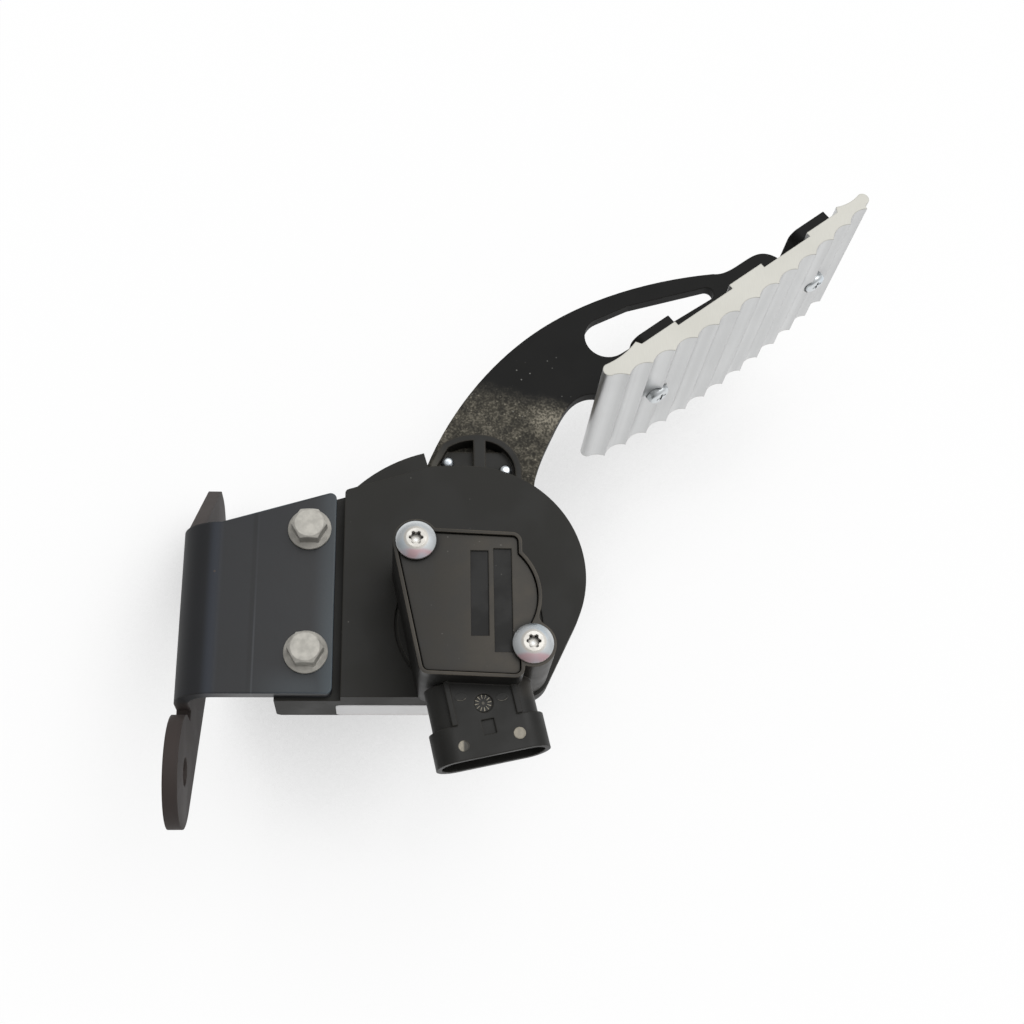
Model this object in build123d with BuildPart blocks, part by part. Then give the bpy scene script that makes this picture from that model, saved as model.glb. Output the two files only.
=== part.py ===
"""Suspended accelerator pedal with a sprung pivot and an electronic position sensor.

Millimetres. The origin lies midway between the two bulkhead bolt holes, on the face
that meets the bulkhead. +X points at the driver and +Z runs along the pivot axis
towards the sensor.
"""
from build123d import *
from math import cos, radians, sin, tan
import os

os.makedirs("parts", exist_ok=True)

# Levels along the pivot axis
FACE_Z = 43.0            # housing face, flush with the bracket plate
HOUSING_Z = 22.0         # lower edge of the front housing
ARM_TOP_Z = 13.0         # upper face of the arm, where the rotor sits
CROWN_Z = 19.0           # top of the rotor's crown
REAR_TOP_Z = 7.0         # inner face of the rear cover
RIM_Z = 72.5             # upper rim of the sensor

# Bracket
SHEET = 4.5              # steel thickness of the bracket and the arm
BOLT_HALF_Y = 49.4       # each bulkhead hole from the origin
BOLT_HALF_Z = 28.0
MOUNT_HOLE_D = 9.0       # clearance for M8
EAR_R = 17.5             # steel round each bulkhead hole
UPPER_END = 17.2         # upper hole to the flange's end
BEND_R = 8.5             # inside radius of the fold
PLATE_X = 49.3
PLATE_LOW_Y = -28.6
PLATE_TOP_Y = 28.0       # top edge where the fold ends
PLATE_SLOPE = 17.0       # lean of the top edge, degrees
PLATE_CORNER_R = 2.0
TIP_Z = -21.0            # corner of the upper ear
TIP_R = 6.0
RELIEF_W = 3.6           # slot between the fold and the lower ear
RELIEF_FLOOR_Z = 23.5
BOLT_X = 41.0
BOLT_YS = (25.5, -15.5)
BOLT_HOLE_D = 6.6

# Housing
PIVOT = (91.7, -5.7)
DRUM = (91.7, 11.0)      # centre of the round end of the face
DRUM_R = 37.8
STEP_X = 52.0            # face edge beside the plate
STEP_TOP_Y = 40.0
STEP_CORNER_R = 1.5
SHOULDER = (81.0, 41.5)  # round shoulder between the straight edge and the drum
SHOULDER_R = 7.0
WALL_Y = -29.7           # flat wall below the face
BLOCK_X = 31.4           # far wall of the block under the plate
BLOCK_EDGE_R = 2.0       # lower edge of that wall
BLOCK_TOP_IN = 1.0       # block below the plate's top edge
POCKETS_Y = ((-26.7, -21.7), (-6.0, 3.0), (6.0, 15.0))   # moulded pockets in the block
BLIND_END = 1.0          # holes beyond the ends of their inserts and screws
FACE_T = 6.0
WALL = 3.0
SKIRT_INSET = 4.0        # drum wall behind the edge of the face
WALL_END_X = 92.0
GUARD_R = 52.4
GUARD_T = 3.0
GUARD_END = 105.4        # degrees about the drum centre
GUARD_START = 150.0
SPINE_X = (51.0, 63.0)   # bridge between the front and rear halves
SPINE_Y = (-18.0, 32.0)
FACE_GROOVE_R = 22.5     # shallow ring moulded round the sensor seat
FACE_GROOVE_W = 0.9
FACE_GROOVE_D = 0.8
REAR_T = 6.0
REAR_BOSS_Z = -8.0
REAR_EDGE_R = 2.0
REAR_RIB_T = 3.0
REAR_RIB_H = 5.0
REAR_R = 15.0
COVER_SCREW_XY = ((57.0, -12.0), (57.0, 7.0), (57.0, 26.0))
STOP_POST = (114.6, 22.0, 121.0, 32.0)   # x0, y0, x1, y1
STOP_T = 2.4

# Pivot
SHAFT_R = 5.0
SHAFT_REAR_Z = -12.5
SHAFT_FRONT_Z = 50.0
FLAT_X = 4.0             # shaft flat from the axis
RUN_CLEAR = 0.05         # shaft in a bush
FIT_CLEAR = 0.03         # parts fixed together
BUSH_R = 7.0
BUSH_FLANGE_R = 9.6
BUSH_FLANGE_T = 1.2
BEARING_BOSS_R = 10.4
BEARING_BOSS_Z = 31.7
SLEEVE_R = 9.0
SLEEVE_Z = 28.4
DISC_T = 0.9
WAVE_T = 0.6
WASHER_T = 1.0
WASHER_R = 9.4
RING_T = 1.0
RING_REACH = 2.6
RING_GROOVE_DEPTH = 0.8
AXIAL_GAP = 0.3          # play between pieces stacked on the shaft
SLEEVE_BORE_R = 5.6
SHAFT_CHAMFER = 0.6
OUTER_WIRE_D = 2.2
OUTER_COIL_R = 15.6
INNER_WIRE_D = 1.8
INNER_COIL_R = 11.9
COIL_TURNS = 4
COIL_Z = 21.2
COIL_PITCH = 3.0
COIL_LEG = 3.0

# Rotor and arm
HUB_R = 17.0
ROOT_FLARE = 6.0         # lean of the arm's sides beside the hub, degrees
SPIGOT_R = 11.0
CROWN_FEET_Y = 48.0
CROWN_LEFT = ((79.4, 48.0), (80.3, 60.4), (84.5, 68.1))   # foot, knee and shoulder
CROWN_TOP = (97.2, 71.8)
CROWN_RIGHT = (111.8, 58.2)
CROWN_BULGES = ((90.5, 71.1), (107.6, 67.6))   # middles of the two arcs of the arch
CROWN_WALL = 2.2
CROWN_FLOOR_Z = 16.0
RIB_X = 97.2             # rib down the middle of the crown
RIB_W = 4.2
WINDOW_Y = 66.4          # lower edge of the windows behind the arch
ROTOR_WAIST = 22.0
ROTOR_SCREW_XY = ((86.2, 61.9), (106.3, 59.2))
ARM_BACK = ((78.8, 61.3), (91.5, 86.5), (121.1, 118.4), (153.2, 135.1), (186.4, 143.2))
ARM_LOBE = ((198.5, 149.0), (206.5, 152.8), (213.2, 149.6))
ARM_FRONT = ((139.0, 91.6), (132.9, 89.6), (128.6, 84.9), (124.2, 76.5), (119.8, 66.6), (116.9, 57.4))
HOLE_ROUNDS = (((145.0, 115.2), 8.3), ((156.0, 121.9), 7.2), ((183.4, 134.6), 2.7))

# Pad and its tabs, on a line along the pad's back
PAD_CORNER = (135.2, 72.4)
PAD_ANGLE = 36.9
PAD_L = 118.8
PAD_Z = (3.0, 65.0)
RIDGES = 13
RIDGE_ENDS = (6.3, 3.7)  # outermost ridges from the pad's ends
CROWN_ENDS = (5.4, 3.8)  # heights of the outermost ridges
CROWN_RISE = 3.9         # extra height at mid length
FLUTE = 1.85
NOSE_R = 2.2
NOSE_DIP = 1.3           # hollow behind each nose
NOSE_SAG = 0.4           # hollow in front of each nose
BACK_W = -0.5            # back face between the lands
LAND_W = 1.2
LAND_L = 14.4
LAND_ENDS = (16.9, 13.4)   # outer lands from the pad's ends
MID_LAND = 3.2           # middle land beyond mid length
LIP_W = 3.0              # lips that keep the tabs on their lands
LIP_T = 1.2
TAB_ENDS = (25.3, 22.1)  # middles of the tabs from the pad's ends
TAB_L = 16.2
TAB_TOP_Z = 61.0
TAB_BEND_R = 3.0
TAB_CORNER_R = 3.5
PAD_SCREW_ENDS = (24.2, 19.2)   # pad screws from the pad's ends
PAD_SCREW_Z = 33.5
PAD_SCREW_R = 2.0
PAD_HEAD_R = 4.0
PAD_HEAD_H = 3.1
PAD_HEAD_ROUND = 1.5
SEAT_SINK = 2.0          # screw seats below the crowned front
SEAT_CLEAR = 0.5
CROSS_L = 4.2
CROSS_W = 1.0
CROSS_DEPTH = 1.4
CROSS_TAPER = 8.0        # degrees
TAB_EDGE_R = 1.0

# Sensor
SCREW_ARM = (17.25, -16.1)   # sensor screw from the pivot; the other lies opposite
EAR_BOSS_R = 7.0
SENSOR_TOP_YS = (14.8, 13.4)   # top edge at the ear and at the far corner
SENSOR_X = 106.4
SENSOR_LOW_Y = -30.9
SENSOR_LOW_LEAN = 1.3    # drop of the lower wall towards the right
SENSOR_BULGE = (92.4, -6.6)
SENSOR_BULGE_R = 19.6
SENSOR_CORNER_R = 3.0
LID_RIM = 1.0
LID_DROP = 0.7
LID_T = 2.0
LID_CLEAR = 0.4          # groove round the lid
LID_NOTCH_R = 5.4
PANEL_D = 0.5
PANELS = ((90.8, -19.2, 96.2, 7.7), (97.7, -24.2, 103.2, 8.4))
BOARD_Z = 64.0
BOARD_T = 1.6
MAGNET_WELL_R = 10.5
LID_LEDGE = 1.0
SEAL_R = 14.2
SEAL_SECTION_R = 0.9
SEAL_SIDE = 0.1
SPIGOT_SEAT_R = 12.8
SPIGOT_DEPTH = 2.0
SPIGOT_CLEAR = 0.5
CARRIER_R = 8.0
CARRIER_Z = (46.0, 55.0)
MAGNET_R = 5.0
MAGNET_T = 3.0
SIX_LOBE_HEAD_R = 6.1
SIX_LOBE_HEAD_H = 2.8
SIX_LOBE_EDGE = 0.7          # thickness of the head at its rim
SIX_LOBE_SLOPE = (4.55, 1.98)   # middle of the head's sloped top
SIX_LOBE_RING_R = 3.0
SIX_LOBE_CIRCLE_R = 1.67      # circle through the lobes
SIX_LOBE_ROUND_R = 0.53
SIX_LOBE_DEPTH = 2.0

# Connector, on its own axis
PLUG_TILT = 11.8         # degrees from -Y
PLUG_MOUTH = (97.9, -52.8, 57.6)
COLLAR = (34.6, 13.8, 10.5)   # width, height, length
NECK = (32.0, 12.0)
NECK_TABLE = 20.0        # flat width level with the collar's top
SOCKET = (31.4, 10.6, 9.0)
SOCKET_INNER = (27.0, 9.6, 17.5)
PLUG_REACH = 24.0        # mouth to the inside of the sensor wall
PIN_PITCH = 3.0
PIN_COUNT = 6
PIN = (1.5, 0.8)
PIN_TIP = 8.0            # pin tips behind the mouth
PIN_BEND = 28.5
PIN_ROOM = 6.0
PIN_STAND = 0.8          # pins above the board
PIN_CLEAR = 0.05
LATCH = (3.8, 4.5, 0.8)  # width, length and depth of the sunk latch step
LATCH_BACK = 6.2
RIB_PLACE = 9.7
RIB_SIZE = (1.6, 0.9)
DATE_WHEEL_BACK = 15.6
DATE_WHEEL_R = 2.8
DATE_WHEEL_LINE = 0.4

# Fasteners
M6_R = 3.0
M6_FLANGE_R = 6.9
M6_FLANGE_T = 1.6
M6_HEX_R = 5.7
M6_HEAD_H = 6.2
M6_FLANGE_SLOPE = (0.9, 1.6)   # fall of the flange's rim and its reach
M6_CROWN = (1.2, 1.8)    # corners of the hexagon turned off inwards and downwards
INSERT_WALL = 1.5
INSERT_L = 11.0
INSERT_BOSS_WALL = 2.0
M5_R = 2.5
SENSOR_INSERT_L = 7.0
M4_R = 2.0
M3_R = 1.5
DOME_R = 2.3
DOME_H = 1.8
DOME_EDGE = 0.3          # straight rim below the dome
COVER_HEAD_R = 3.6
COVER_HEAD_H = 2.6
COVER_HEX_R = 1.7
COVER_SCREW_L = 16.0

# Values that follow from the sizes above
arm_z = ARM_TOP_Z - SHEET
fold_r = BEND_R + SHEET
seat_z = FACE_Z - SHEET
low_hole = (-BOLT_HALF_Y, BOLT_HALF_Z)
high_hole = (BOLT_HALF_Y, -BOLT_HALF_Z)
pivot_plane = Plane(origin=(PIVOT[0], PIVOT[1], 0))
pad_plane = Plane(
    origin=(PAD_CORNER[0], PAD_CORNER[1], 0),
    x_dir=(cos(radians(PAD_ANGLE)), sin(radians(PAD_ANGLE)), 0),
    z_dir=(0, 0, 1),
)
plug_plane = Plane(
    origin=PLUG_MOUTH,
    x_dir=(cos(radians(PLUG_TILT)), sin(radians(PLUG_TILT)), 0),
    z_dir=(sin(radians(PLUG_TILT)), -cos(radians(PLUG_TILT)), 0),
)
sensor_screw_xy = (
    (PIVOT[0] - SCREW_ARM[0], PIVOT[1] - SCREW_ARM[1]),
    (PIVOT[0] + SCREW_ARM[0], PIVOT[1] + SCREW_ARM[1]),
)
tab_front_w = LAND_W + SHEET + TAB_BEND_R
tab_us = (TAB_ENDS[0], PAD_L - TAB_ENDS[1])
pad_screw_us = (PAD_SCREW_ENDS[0], PAD_L - PAD_SCREW_ENDS[1])
lands = [
    (middle - LAND_L / 2, middle + LAND_L / 2)
    for middle in (
        LAND_ENDS[0] + LAND_L / 2,
        PAD_L / 2 + MID_LAND,
        PAD_L - LAND_ENDS[1] - LAND_L / 2,
    )
]


def on_pad(along, behind):
    """A point given along the pad's back and behind it, as x and y."""
    point = pad_plane.from_local_coords(Vector(along, behind, 0))
    return (point.X, point.Y)


def plate_top(x):
    """Height of the bracket plate's leaning top edge."""
    return PLATE_TOP_Y + max(0.0, x - fold_r) * tan(radians(PLATE_SLOPE))


def save(piece, name):
    """Name a piece and write it out."""
    piece.part.label = name
    export_step(piece.part, f"parts/{name}.step")


def hull_of_rounds(rounds):
    """A face stretched round several circles."""
    with BuildSketch() as face:
        with BuildLine():
            for centre, radius in rounds:
                CenterArc(centre, radius, 0, 360)
        make_hull()
    return face.sketch


def flat_shaft(radius, flat):
    """The shaft's section, a circle with one flat."""
    with BuildSketch() as section:
        Circle(radius)
        with Locations((flat, 0)):
            Rectangle(radius, 2 * radius, align=(Align.MIN, Align.CENTER), mode=Mode.SUBTRACT)
    return section.sketch


def ring(inner, outer, z, height):
    """A plain ring round the pivot axis."""
    with BuildPart() as piece:
        with BuildSketch(pivot_plane.offset(z)):
            Circle(outer)
            Circle(inner, mode=Mode.SUBTRACT)
        extrude(amount=height)
    return piece


def face_outline():
    """The housing's face: a drum, a shoulder, two round corners and a straight edge by the plate."""
    corner_r = sensor_screw_xy[1][1] - WALL_Y
    with BuildSketch() as face:
        with BuildLine():
            CenterArc(DRUM, DRUM_R, 0, 360)
            CenterArc(sensor_screw_xy[1], corner_r, 0, 360)
            CenterArc(SHOULDER, SHOULDER_R, 0, 360)
            CenterArc((STEP_X + STEP_CORNER_R, STEP_TOP_Y - STEP_CORNER_R), STEP_CORNER_R, 0, 360)
            Line((STEP_X, WALL_Y), (STEP_X, SPINE_Y[1]))
        make_hull()
    return face.sketch


# Bracket: a plate, a fold and a flange with two ears
with BuildPart() as mounting_bracket:
    with BuildSketch(Plane.XY.offset(seat_z)):
        with BuildLine():
            Polyline(
                (fold_r, PLATE_LOW_Y),
                (PLATE_X, PLATE_LOW_Y),
                (PLATE_X, plate_top(PLATE_X)),
                (fold_r, PLATE_TOP_Y),
                close=True,
            )
        make_face()
        fillet(vertices().group_by(Axis.X)[-1], PLATE_CORNER_R)
        with Locations(*[(BOLT_X, y) for y in BOLT_YS]):
            Circle(BOLT_HOLE_D / 2, mode=Mode.SUBTRACT)
    extrude(amount=SHEET)
    with BuildSketch(Plane.XZ.offset(-PLATE_TOP_Y)):
        with Locations((fold_r, FACE_Z - fold_r)):
            Circle(fold_r)
            Circle(BEND_R, mode=Mode.SUBTRACT)
            Rectangle(fold_r, fold_r, align=(Align.MAX, Align.MIN), mode=Mode.INTERSECT)
    extrude(amount=PLATE_TOP_Y - PLATE_LOW_Y)
    with BuildSketch(Plane.YZ):
        upper_round = (BOLT_HALF_Y + UPPER_END - EAR_R, -BOLT_HALF_Z)
        edge = (Vector(*low_hole) - Vector(*upper_round)).rotate(Axis.Z, 90).normalized() * EAR_R
        with BuildLine():
            Polyline(
                low_hole,
                (low_hole[0] + edge.X, low_hole[1] + edge.Y),
                (upper_round[0] + edge.X, upper_round[1] + edge.Y),
                upper_round,
                (BOLT_HALF_Y + UPPER_END, -BOLT_HALF_Z),
                (BOLT_HALF_Y + UPPER_END, TIP_Z),
                (PLATE_TOP_Y, FACE_Z - fold_r),
                (PLATE_LOW_Y, FACE_Z - fold_r),
                close=True,
            )
        make_face()
        with Locations(low_hole, upper_round):
            Circle(EAR_R)
        fillet(vertices().sort_by_distance((BOLT_HALF_Y + UPPER_END, TIP_Z))[0], TIP_R)
        with Locations(low_hole, high_hole):
            Circle(MOUNT_HOLE_D / 2, mode=Mode.SUBTRACT)
        with Locations((PLATE_LOW_Y, RELIEF_FLOOR_Z)):
            Rectangle(RELIEF_W, fold_r, align=(Align.MAX, Align.MIN), mode=Mode.SUBTRACT)
    extrude(amount=SHEET)
save(mounting_bracket, "mounting_bracket")

# Flange bolts that hold the housing to the bracket
with BuildPart() as bolt:
    Cylinder(M6_FLANGE_R, M6_FLANGE_T, align=(Align.CENTER, Align.CENTER, Align.MIN))
    chamfer(edges().group_by(Axis.Z)[-1], *M6_FLANGE_SLOPE)
    with BuildSketch():
        RegularPolygon(M6_HEX_R, 6)
    extrude(amount=M6_HEAD_H)
    with BuildSketch(Plane.XZ):
        with BuildLine():
            Polyline(
                (0, 0),
                (M6_FLANGE_R, 0),
                (M6_FLANGE_R, M6_HEAD_H - M6_CROWN[1]),
                (M6_HEX_R - M6_CROWN[0], M6_HEAD_H),
                (0, M6_HEAD_H),
                close=True,
            )
        make_face()
    revolve(axis=Axis.Z, mode=Mode.INTERSECT)
    Cylinder(M6_R, SHEET + INSERT_L, align=(Align.CENTER, Align.CENTER, Align.MAX))
with BuildPart() as bracket_bolts:
    with Locations(*[(BOLT_X, y, FACE_Z) for y in BOLT_YS]):
        add(bolt.part)
save(bracket_bolts, "bracket_bolts")

with BuildPart() as bracket_inserts:
    with BuildSketch(Plane.XY.offset(seat_z - INSERT_L)):
        with Locations(*[(BOLT_X, y) for y in BOLT_YS]):
            Circle(M6_R + INSERT_WALL)
            Circle(M6_R + FIT_CLEAR, mode=Mode.SUBTRACT)
    extrude(amount=INSERT_L)
save(bracket_inserts, "bracket_inserts")

# Front housing
with BuildPart() as housing:
    with BuildSketch(Plane.XY.offset(FACE_Z - FACE_T)):
        add(face_outline())
    extrude(amount=FACE_T)
    with BuildSketch(Plane.XY.offset(HOUSING_Z)) as skirt:
        add(face_outline())
        offset(amount=-SKIRT_INSET, mode=Mode.REPLACE)
        offset(amount=-WALL, mode=Mode.SUBTRACT)
    extrude(amount=FACE_Z - FACE_T - HOUSING_Z)
    with BuildSketch(Plane.XY.offset(HOUSING_Z)) as wall:
        with Locations((BLOCK_X, WALL_Y)):
            Rectangle(WALL_END_X - BLOCK_X, WALL, align=(Align.MIN, Align.MIN))
    extrude(amount=seat_z - HOUSING_Z)
    with BuildSketch(Plane.XY.offset(HOUSING_Z)) as block:
        with BuildLine():
            Polyline(
                (BLOCK_X, WALL_Y),
                (SPINE_X[1], WALL_Y),
                (SPINE_X[1], plate_top(SPINE_X[1]) - BLOCK_TOP_IN),
                (BLOCK_X, plate_top(BLOCK_X) - BLOCK_TOP_IN),
                close=True,
            )
        make_face()
    extrude(amount=seat_z - HOUSING_Z)
    fillet(edges().filter_by(Axis.Y).group_by(Axis.X)[0].group_by(Axis.Z)[0], BLOCK_EDGE_R)
    with BuildSketch(Plane.XY.offset(HOUSING_Z)) as guard:
        with Locations(DRUM):
            Circle(GUARD_R)
            Circle(DRUM_R - SKIRT_INSET - WALL, mode=Mode.SUBTRACT)
        with BuildLine(Plane.XY) as wedge:
            far = 2 * GUARD_R
            Polyline(
                DRUM,
                (DRUM[0] + far * cos(radians(GUARD_END)), DRUM[1] + far * sin(radians(GUARD_END))),
                (DRUM[0] + far * cos(radians(GUARD_START)), DRUM[1] + far * sin(radians(GUARD_START))),
                close=True,
            )
        make_face(mode=Mode.INTERSECT)
    extrude(amount=GUARD_T)
    with BuildSketch(Plane.XY.offset(REAR_TOP_Z)):
        with Locations((SPINE_X[0], SPINE_Y[0])):
            Rectangle(SPINE_X[1] - SPINE_X[0], SPINE_Y[1] - SPINE_Y[0], align=(Align.MIN, Align.MIN))
    extrude(amount=HOUSING_Z - REAR_TOP_Z)
    # stop post
    with BuildSketch(Plane.XY.offset(arm_z)):
        with Locations((STOP_POST[0] + STOP_T, STOP_POST[1])):
            Rectangle(
                STOP_POST[2] - STOP_POST[0] - STOP_T,
                STOP_POST[3] - STOP_POST[1],
                align=(Align.MIN, Align.MIN),
            )
    extrude(amount=FACE_Z - FACE_T - arm_z)
    # bearing boss and insert bosses
    with BuildSketch(pivot_plane.offset(BEARING_BOSS_Z)):
        Circle(BEARING_BOSS_R)
    extrude(amount=FACE_Z - FACE_T - BEARING_BOSS_Z)
    with BuildSketch(Plane.XY.offset(FACE_Z - SENSOR_INSERT_L - WALL)):
        with Locations(*sensor_screw_xy):
            Circle(M5_R + INSERT_WALL + INSERT_BOSS_WALL)
    extrude(amount=SENSOR_INSERT_L)
    # moulded pockets in the block, open below, with ribs between
    with BuildSketch(Plane.XY.offset(HOUSING_Z)) as pockets:
        for low, high in POCKETS_Y:
            with Locations((BLOCK_X + WALL, low)):
                Rectangle(SPINE_X[0] - BLOCK_X - 2 * WALL, high - low, align=(Align.MIN, Align.MIN))
    extrude(amount=seat_z - HOUSING_Z - WALL, mode=Mode.SUBTRACT)
    # inserts and shaft
    with BuildSketch(Plane.XY.offset(seat_z)):
        with Locations(*[(BOLT_X, y) for y in BOLT_YS]):
            Circle(M6_R + INSERT_WALL + FIT_CLEAR)
    extrude(amount=-INSERT_L - BLIND_END, mode=Mode.SUBTRACT)
    with BuildSketch(Plane.XY.offset(FACE_Z)):
        with Locations(*sensor_screw_xy):
            Circle(M5_R + INSERT_WALL + FIT_CLEAR)
    extrude(amount=-SENSOR_INSERT_L - BLIND_END, mode=Mode.SUBTRACT)
    with BuildSketch(pivot_plane.offset(BEARING_BOSS_Z)):
        Circle(BUSH_R + FIT_CLEAR)
    extrude(amount=FACE_Z - BEARING_BOSS_Z, mode=Mode.SUBTRACT)
    with BuildSketch(pivot_plane.offset(FACE_Z)):
        Circle(SPIGOT_SEAT_R + 2 * FIT_CLEAR)
    extrude(amount=-SPIGOT_DEPTH - SPIGOT_CLEAR, mode=Mode.SUBTRACT)
    with BuildSketch(Plane.XY.offset(REAR_TOP_Z)):
        with Locations(*COVER_SCREW_XY):
            Circle(M4_R + FIT_CLEAR)
    extrude(amount=COVER_SCREW_L - REAR_T + BLIND_END, mode=Mode.SUBTRACT)
    with BuildSketch(pivot_plane.offset(FACE_Z)):
        Circle(FACE_GROOVE_R + FACE_GROOVE_W)
        Circle(FACE_GROOVE_R, mode=Mode.SUBTRACT)
    extrude(amount=-FACE_GROOVE_D, mode=Mode.SUBTRACT)
save(housing, "housing")

# Rubber stop that the arm rests against when released
with BuildPart() as idle_stop:
    with BuildSketch(Plane.XY.offset(arm_z)):
        with Locations((STOP_POST[0], STOP_POST[1])):
            Rectangle(STOP_T, STOP_POST[3] - STOP_POST[1], align=(Align.MIN, Align.MIN))
    extrude(amount=CROWN_Z - arm_z)
save(idle_stop, "idle_stop")

# Rear cover: a ribbed plate with a bearing boss
with BuildPart() as rear_cover:
    with BuildSketch(Plane.XY.offset(REAR_TOP_Z - REAR_T)) as rear_plate:
        with BuildLine():
            CenterArc(PIVOT, REAR_R, 0, 360)
            Line((SPINE_X[0], SPINE_Y[0]), (SPINE_X[0], SPINE_Y[1]))
            Line((SPINE_X[1], SPINE_Y[0]), (SPINE_X[1], SPINE_Y[1]))
        make_hull()
    extrude(amount=REAR_T)
    fillet(edges().group_by(Axis.Z)[0], REAR_EDGE_R)
    with BuildSketch(pivot_plane.offset(REAR_BOSS_Z)):
        Circle(BEARING_BOSS_R)
    extrude(amount=REAR_TOP_Z - REAR_BOSS_Z)
    with BuildSketch(Plane.XY.offset(REAR_TOP_Z - REAR_T - REAR_RIB_H)):
        with BuildLine():
            for place in COVER_SCREW_XY[::2]:
                Line(PIVOT, (place[0] + 2 * COVER_HEAD_R, place[1]))
        trace(line_width=REAR_RIB_T)
    extrude(amount=REAR_RIB_H)
    with BuildSketch(pivot_plane.offset(REAR_BOSS_Z)):
        Circle(BUSH_R + FIT_CLEAR)
    extrude(amount=REAR_TOP_Z - REAR_BOSS_Z, mode=Mode.SUBTRACT)
    with BuildSketch(Plane.XY.offset(REAR_TOP_Z - REAR_T)):
        with Locations(*COVER_SCREW_XY):
            Circle(M4_R + FIT_CLEAR)
    extrude(amount=REAR_T, mode=Mode.SUBTRACT)
save(rear_cover, "rear_cover")

with BuildPart() as cover_screw:
    Cylinder(COVER_HEAD_R, COVER_HEAD_H, align=(Align.CENTER, Align.CENTER, Align.MAX))
    fillet(edges().group_by(Axis.Z)[0], COVER_HEAD_H / 2)
    with BuildSketch(Plane.XY.offset(-COVER_HEAD_H)):
        RegularPolygon(COVER_HEX_R, 6)
    extrude(amount=COVER_HEAD_H / 2, mode=Mode.SUBTRACT)
    Cylinder(M4_R, COVER_SCREW_L, align=(Align.CENTER, Align.CENTER, Align.MIN))
with BuildPart() as cover_screws:
    with Locations(*[(x, y, REAR_TOP_Z - REAR_T) for x, y in COVER_SCREW_XY]):
        add(cover_screw.part)
save(cover_screws, "cover_screws")

# Bushes, washers and the shaft with its flat
with BuildPart() as front_bushing:
    with BuildSketch(pivot_plane.offset(BEARING_BOSS_Z)):
        Circle(BUSH_R)
    extrude(amount=FACE_Z - SPIGOT_DEPTH - SPIGOT_CLEAR - BEARING_BOSS_Z)
    with BuildSketch(pivot_plane.offset(BEARING_BOSS_Z)):
        Circle(BUSH_FLANGE_R)
    extrude(amount=-BUSH_FLANGE_T)
    with BuildSketch(pivot_plane.offset(BEARING_BOSS_Z)):
        Circle(SHAFT_R + RUN_CLEAR)
    extrude(amount=FACE_Z, both=True, mode=Mode.SUBTRACT)
save(front_bushing, "front_bushing")

with BuildPart() as rear_bushing:
    with BuildSketch(pivot_plane.offset(REAR_TOP_Z)):
        Circle(BUSH_R)
    extrude(amount=REAR_BOSS_Z - REAR_TOP_Z)
    with BuildSketch(pivot_plane.offset(REAR_TOP_Z)):
        Circle(BUSH_FLANGE_R)
    extrude(amount=BUSH_FLANGE_T)
    with BuildSketch(pivot_plane.offset(REAR_TOP_Z)):
        Circle(SHAFT_R + RUN_CLEAR)
    extrude(amount=FACE_Z, both=True, mode=Mode.SUBTRACT)
save(rear_bushing, "rear_bushing")

disc_z = BEARING_BOSS_Z - BUSH_FLANGE_T - DISC_T - AXIAL_GAP
wave_z = SLEEVE_Z + AXIAL_GAP
washer_z = REAR_BOSS_Z - WASHER_T - AXIAL_GAP
ring_z = washer_z - RING_T - AXIAL_GAP
friction_disc = ring(SLEEVE_BORE_R, BUSH_FLANGE_R, disc_z, DISC_T)
save(friction_disc, "friction_disc")
wave_washer = ring(SLEEVE_BORE_R, SLEEVE_R, wave_z, WAVE_T)
save(wave_washer, "wave_washer")
rear_washer = ring(SHAFT_R + AXIAL_GAP, WASHER_R, washer_z, WASHER_T)
save(rear_washer, "rear_washer")

with BuildPart() as retaining_ring:
    with BuildSketch(pivot_plane.offset(ring_z)):
        Circle(SHAFT_R + RING_REACH)
        Circle(SHAFT_R - RING_GROOVE_DEPTH, mode=Mode.SUBTRACT)
        Rectangle(SHAFT_R + RING_REACH, SHAFT_R, align=(Align.MIN, Align.CENTER), mode=Mode.SUBTRACT)
    extrude(amount=RING_T)
save(retaining_ring, "retaining_ring")

with BuildPart() as pivot_shaft:
    with BuildSketch(pivot_plane.offset(SHAFT_REAR_Z)):
        Circle(SHAFT_R)
    extrude(amount=SHAFT_FRONT_Z - SHAFT_REAR_Z)
    chamfer(edges().group_by(Axis.Z)[0], SHAFT_CHAMFER)
    with BuildSketch(pivot_plane.offset(ring_z)):
        Circle(SHAFT_R)
        Circle(SHAFT_R - RING_GROOVE_DEPTH, mode=Mode.SUBTRACT)
    extrude(amount=RING_T, mode=Mode.SUBTRACT)
    for low, high in ((arm_z, SLEEVE_Z), (CARRIER_Z[0], SHAFT_FRONT_Z)):
        with BuildSketch(pivot_plane.offset(low)):
            Circle(SHAFT_R)
            add(flat_shaft(SHAFT_R, FLAT_X), mode=Mode.SUBTRACT)
        extrude(amount=high - low, mode=Mode.SUBTRACT)
save(pivot_shaft, "pivot_shaft")


def coil_spring(wire_d, coil_r):
    """A wound return spring with a straight leg at each end."""
    with BuildPart() as spring:
        with BuildLine() as path:
            Helix(COIL_PITCH, COIL_PITCH * COIL_TURNS, coil_r, center=(PIVOT[0], PIVOT[1], COIL_Z))
        with BuildSketch(Plane(origin=path.line @ 0, z_dir=path.line % 0)):
            Circle(wire_d / 2)
        sweep()
        for end in faces().filter_by(GeomType.PLANE):
            extrude(end, amount=COIL_LEG)
    return spring


outer_return_spring = coil_spring(OUTER_WIRE_D, OUTER_COIL_R)
save(outer_return_spring, "outer_return_spring")
inner_return_spring = coil_spring(INNER_WIRE_D, INNER_COIL_R)
save(inner_return_spring, "inner_return_spring")


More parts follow.
